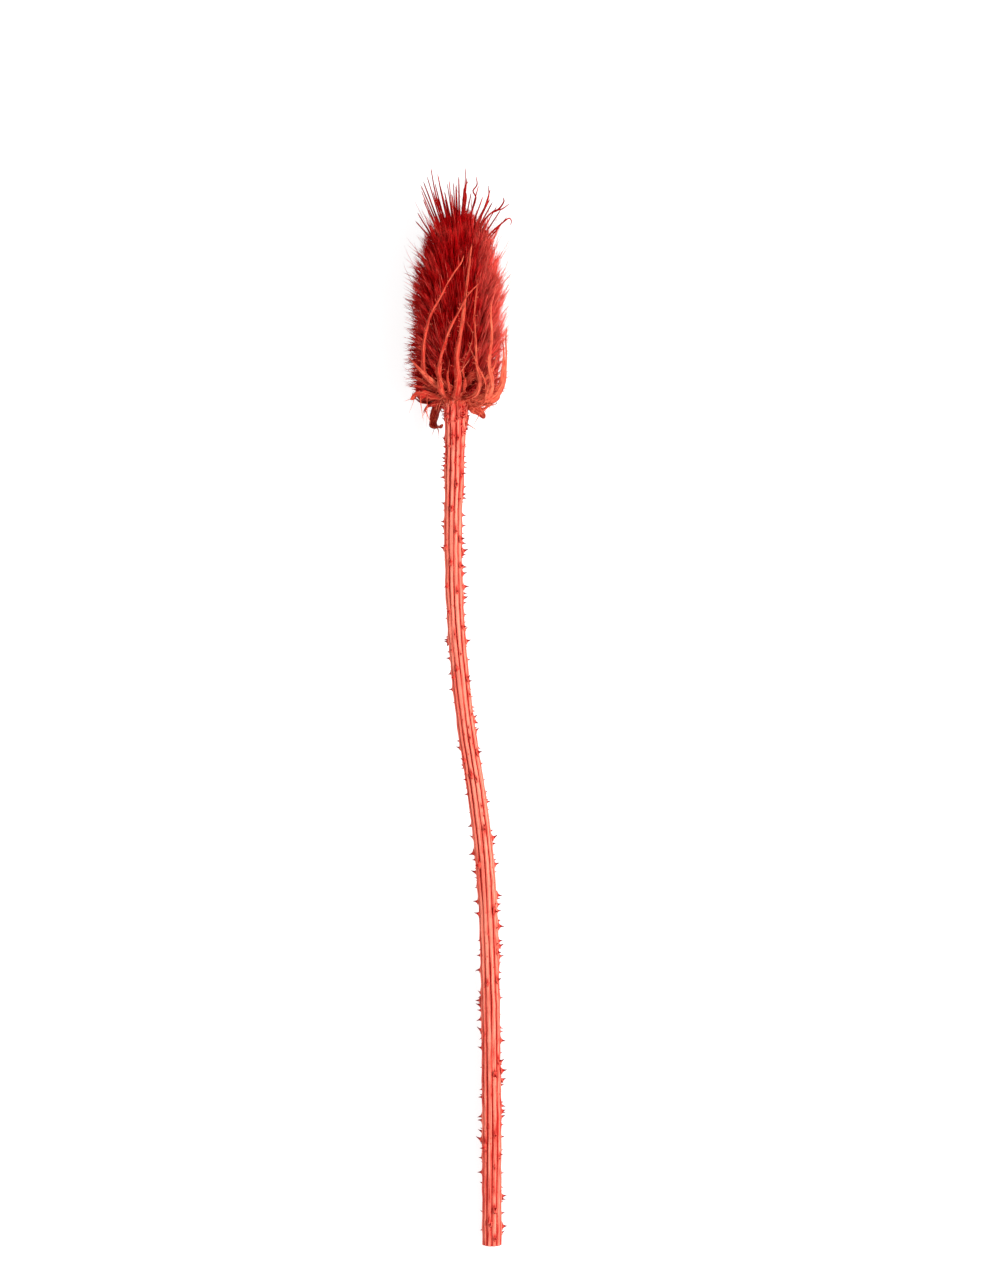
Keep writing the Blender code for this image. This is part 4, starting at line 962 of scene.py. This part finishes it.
# a scale in each tuft, boat-shaped at its root and drawn out into a stiff spine
scaleBasket = newBasket()
count = len(along)
longer = 1.0 + dice.uniform(-0.10, 0.16, (count, 1)) + 0.16 * (dice.random((count, 1)) < 0.15)
longer = longer * np.where(keep < 1, 0.95, 1.0)
size = reading([(0, 1.0), (50, 0.9), (69, 0.6)], along / mm) * dice.uniform(0.85, 1.15, count)
growStrands(scaleBasket, roots, steps * longer, bends * longer ** 2, outwards(azimuth), 0.00080 * size,
            0.00036 * size, scaleShape, scaleSection, ownTones(drynessAndLight, 0.06))
# loose hairs that stand out past the rest
count = head["loose"]
pick = dice.integers(0, head["tufts"], count)
drift = dice.normal(0, 0.20, (count, 3))
looseSteps = steps[pick] * dice.uniform(0.95, 1.42, (count, 1)) + drift * lengths[pick][:, None]
looseBends = bends[pick] * dice.uniform(0.5, 2.0, (count, 1)) + upward[pick] * dice.normal(0.0008, 0.0012, (count, 1))
free = clearOfBracts(roots[pick], looseSteps, looseBends, head["looseGap"])
# painted highlights: more of the loose hairs low on the left are pale, where they catch the light
lowLeft = np.clip(-np.cos(azimuth[pick]) - 0.2, 0, 1) * np.clip(1.4 - along[pick] / 0.022, 0, 1)
growStrands(scaleBasket, roots[pick], looseSteps * free, looseBends * free ** 2, outwards(azimuth[pick]), 0.00012,
            0.00012, looseShape, roundSection[3], ownTones(drynessAndLight[pick] + 0.06, 0.12 + 0.35 * lowLeft))
makePiece("scales", scaleBasket, [spineFinish], ["head"])


# Crown: long stiff bristles that fan out of the top. Across and along the axis, in mm

crown = {
    "tips": [(-16.6, 85.6), (-12.3, 92.4), (-13.9, 88.8), (-15.4, 86.8), (-9.5, 90), (-8.6, 86), (-4.6, 87),
             (-1.8, 85), (-0.7, 88.6), (2.1, 92.6), (2.7, 89), (1.5, 85), (7.6, 86), (4.6, 82.5), (17, 76),
             (19.6, 72.5), (-15.3, 79.4), (-17.4, 73.5), (-16, 82.5), (13.5, 79), (15.4, 77.6), (9.5, 80.5),
             (-6.6, 83), (-11.4, 83), (-18.2, 70)],
    "behind": 14, "halfWidth": (0.00030, 0.00044), "halfDepth": 0.00028, "rootShare": 0.30,
    # bent ones: across, along and up. The first turns back on itself at its end, the last two are forked
    "bent": [[(9, 61, 3), (14, 66.5, 5), (18.4, 70.3, 6), (20.3, 71.6, 6.2), (21.3, 70.6, 6), (21, 68.8, 5.8)],
             [(3.4, 66, 2), (4.7, 73.4, 3.4), (5.9, 77.2, 4), (6.5, 80.2, 4.4), (5.3, 82.6, 4.6), (6.9, 85.2, 4.4),
              (6.4, 88.6, 4.2)],
             [(6, 64, 2), (8.5, 72.2, 3.6), (10.7, 77, 4.4), (11.8, 80.8, 4.6), (11.6, 84.8, 4.4)],
             [(1.6, 67, 3), (1.9, 74, 5), (2.6, 80, 5.4), (1.9, 83.4, 5.2), (3.2, 86.4, 5)],
             [(7.6, 64.6, 3), (10.6, 71.2, 4), (14.2, 74.6, 4.4), (17.2, 75.4, 4.2), (20.2, 77.6, 4)],
             [(13.6, 74.2, 4.3), (16, 75.4, 4.4), (18, 78.4, 4.8), (17.6, 80.2, 5)]],
    "bentSteps": 30, "bentHalfWidth": [(0, 0.50), (0.5, 0.36), (0.85, 0.28), (1, 0.12)],
}
bristleShape = [(0, 1.8, 1.8), (0.25, 1.1, 1.1), (0.5, 0.85, 0.85), (0.75, 0.7, 0.7), (0.94, 0.52, 0.52), (1, 0, 0)]
tips = [(x, y, dice.uniform(-0.3, 0.6) * 12 * math.sqrt(max(0.0, 1 - (x / 22) ** 2))) for x, y in crown["tips"]]
for _ in range(crown["behind"]):
    angle, reachOut = dice.uniform(math.pi * 1.05, math.tau * 0.975), dice.uniform(4, 15)
    tips.append((reachOut * math.cos(angle), dice.uniform(78, 88), reachOut * math.sin(angle)))
tips = np.array(tips)
starts = tips * crown["rootShare"]
starts[:, 1] = reading([(0, 67.0), (10, 62.5), (21, 54.0)], np.hypot(tips[:, 0], tips[:, 2]))
roots, ends = inHead(starts), inHead(tips)
sag = unit(np.cross(ends - roots, dice.normal(0, 1, (len(tips), 3)))) * dice.normal(0, 0.0012, (len(tips), 1))
crownBasket = newBasket()
growStrands(crownBasket, roots, ends - roots - sag, sag, np.tile(headUp, (len(tips), 1)),
            dice.uniform(*crown["halfWidth"], len(tips)), crown["halfDepth"], bristleShape, roundSection[6],
            np.clip(dice.normal(0.04, 0.12, len(tips)), 0, 1))
for course in crown["bent"]:
    path = smoothPath(inHead(course), crown["bentSteps"])
    t = np.linspace(0, 1, len(path))
    ahead = aheadOf(path)
    side = unit(np.cross(ahead, headUp))
    half = reading(crown["bentHalfWidth"], t) * mm
    rings = sweep(path, side, np.cross(side, ahead), half, half, roundSection[6])
    putIn(crownBasket, rings, closedTube(len(path), 6), np.repeat(0.9 * t, 6), 0.15)
makePiece("crown", crownBasket, [bristleFinish], ["head"])


# Floor, light and camera

stageLook = {"floor": 5.0, "floorColour": (0.4, 0.4, 0.4), "glow": 0.72, "sky": 0.74, "key": 14.0, "fill": 3.0}
bpy.ops.mesh.primitive_grid_add(x_subdivisions=8, y_subdivisions=8, size=2 * stageLook["floor"],
                                location=(0, 0, -0.0002))
floor = bpy.context.object
floor.name = "floor"
floorFinish, _, floorShader = newMaterial("paleFloor", 0.9, 0.1)
floorShader["Base Color"].default_value = colour(*stageLook["floorColour"])
floorShader["Emission Color"].default_value = colour(1, 1, 1)
floorShader["Emission Strength"].default_value = stageLook["glow"]
floor.data.materials.append(floorFinish)

world = bpy.data.worlds.new("softRoom")
bpy.context.scene.world = world
world.use_nodes = True
backdrop = world.node_tree.nodes["Background"].inputs
backdrop["Color"].default_value = colour(1, 1, 1)
backdrop["Strength"].default_value = stageLook["sky"]


def softbox(name, spot, target, size, power):
    data = bpy.data.lights.new(name, "AREA")
    data.shape, data.size, data.energy = "DISK", size, power
    lamp = bpy.data.objects.new(name, data)
    lamp.location = spot
    lamp.rotation_euler = (Vector(target) - Vector(spot)).to_track_quat("-Z", "Y").to_euler()
    bpy.context.scene.collection.objects.link(lamp)


softbox("key", (0.75, 0.05, 0.80), (0, 0.03, 0), 0.45, stageLook["key"])
softbox("fill", (-0.55, -0.45, 1.05), (0, 0.03, 0), 0.9, stageLook["fill"])

view = {"lens": 100.0, "sensorWidth": 36.0, "pictureHeight": 0.5232, "centre": (0.0175, 0.0314), "focusHeight": 0.017}
lens = bpy.data.cameras.new("camera")
lens.lens, lens.sensor_width = view["lens"], view["sensorWidth"]
distance = view["pictureHeight"] * view["lens"] / view["sensorWidth"]
camera = bpy.data.objects.new("camera", lens)
camera.location = (*view["centre"], view["focusHeight"] + distance)
lens.clip_start, lens.clip_end = 0.05, 20
bpy.context.scene.collection.objects.link(camera)
bpy.context.scene.camera = camera
for key, value in (("view_transform", "Standard"), ("look", "None"), ("exposure", 0.0), ("gamma", 1.0)):
    setattr(bpy.context.scene.view_settings, key, value)
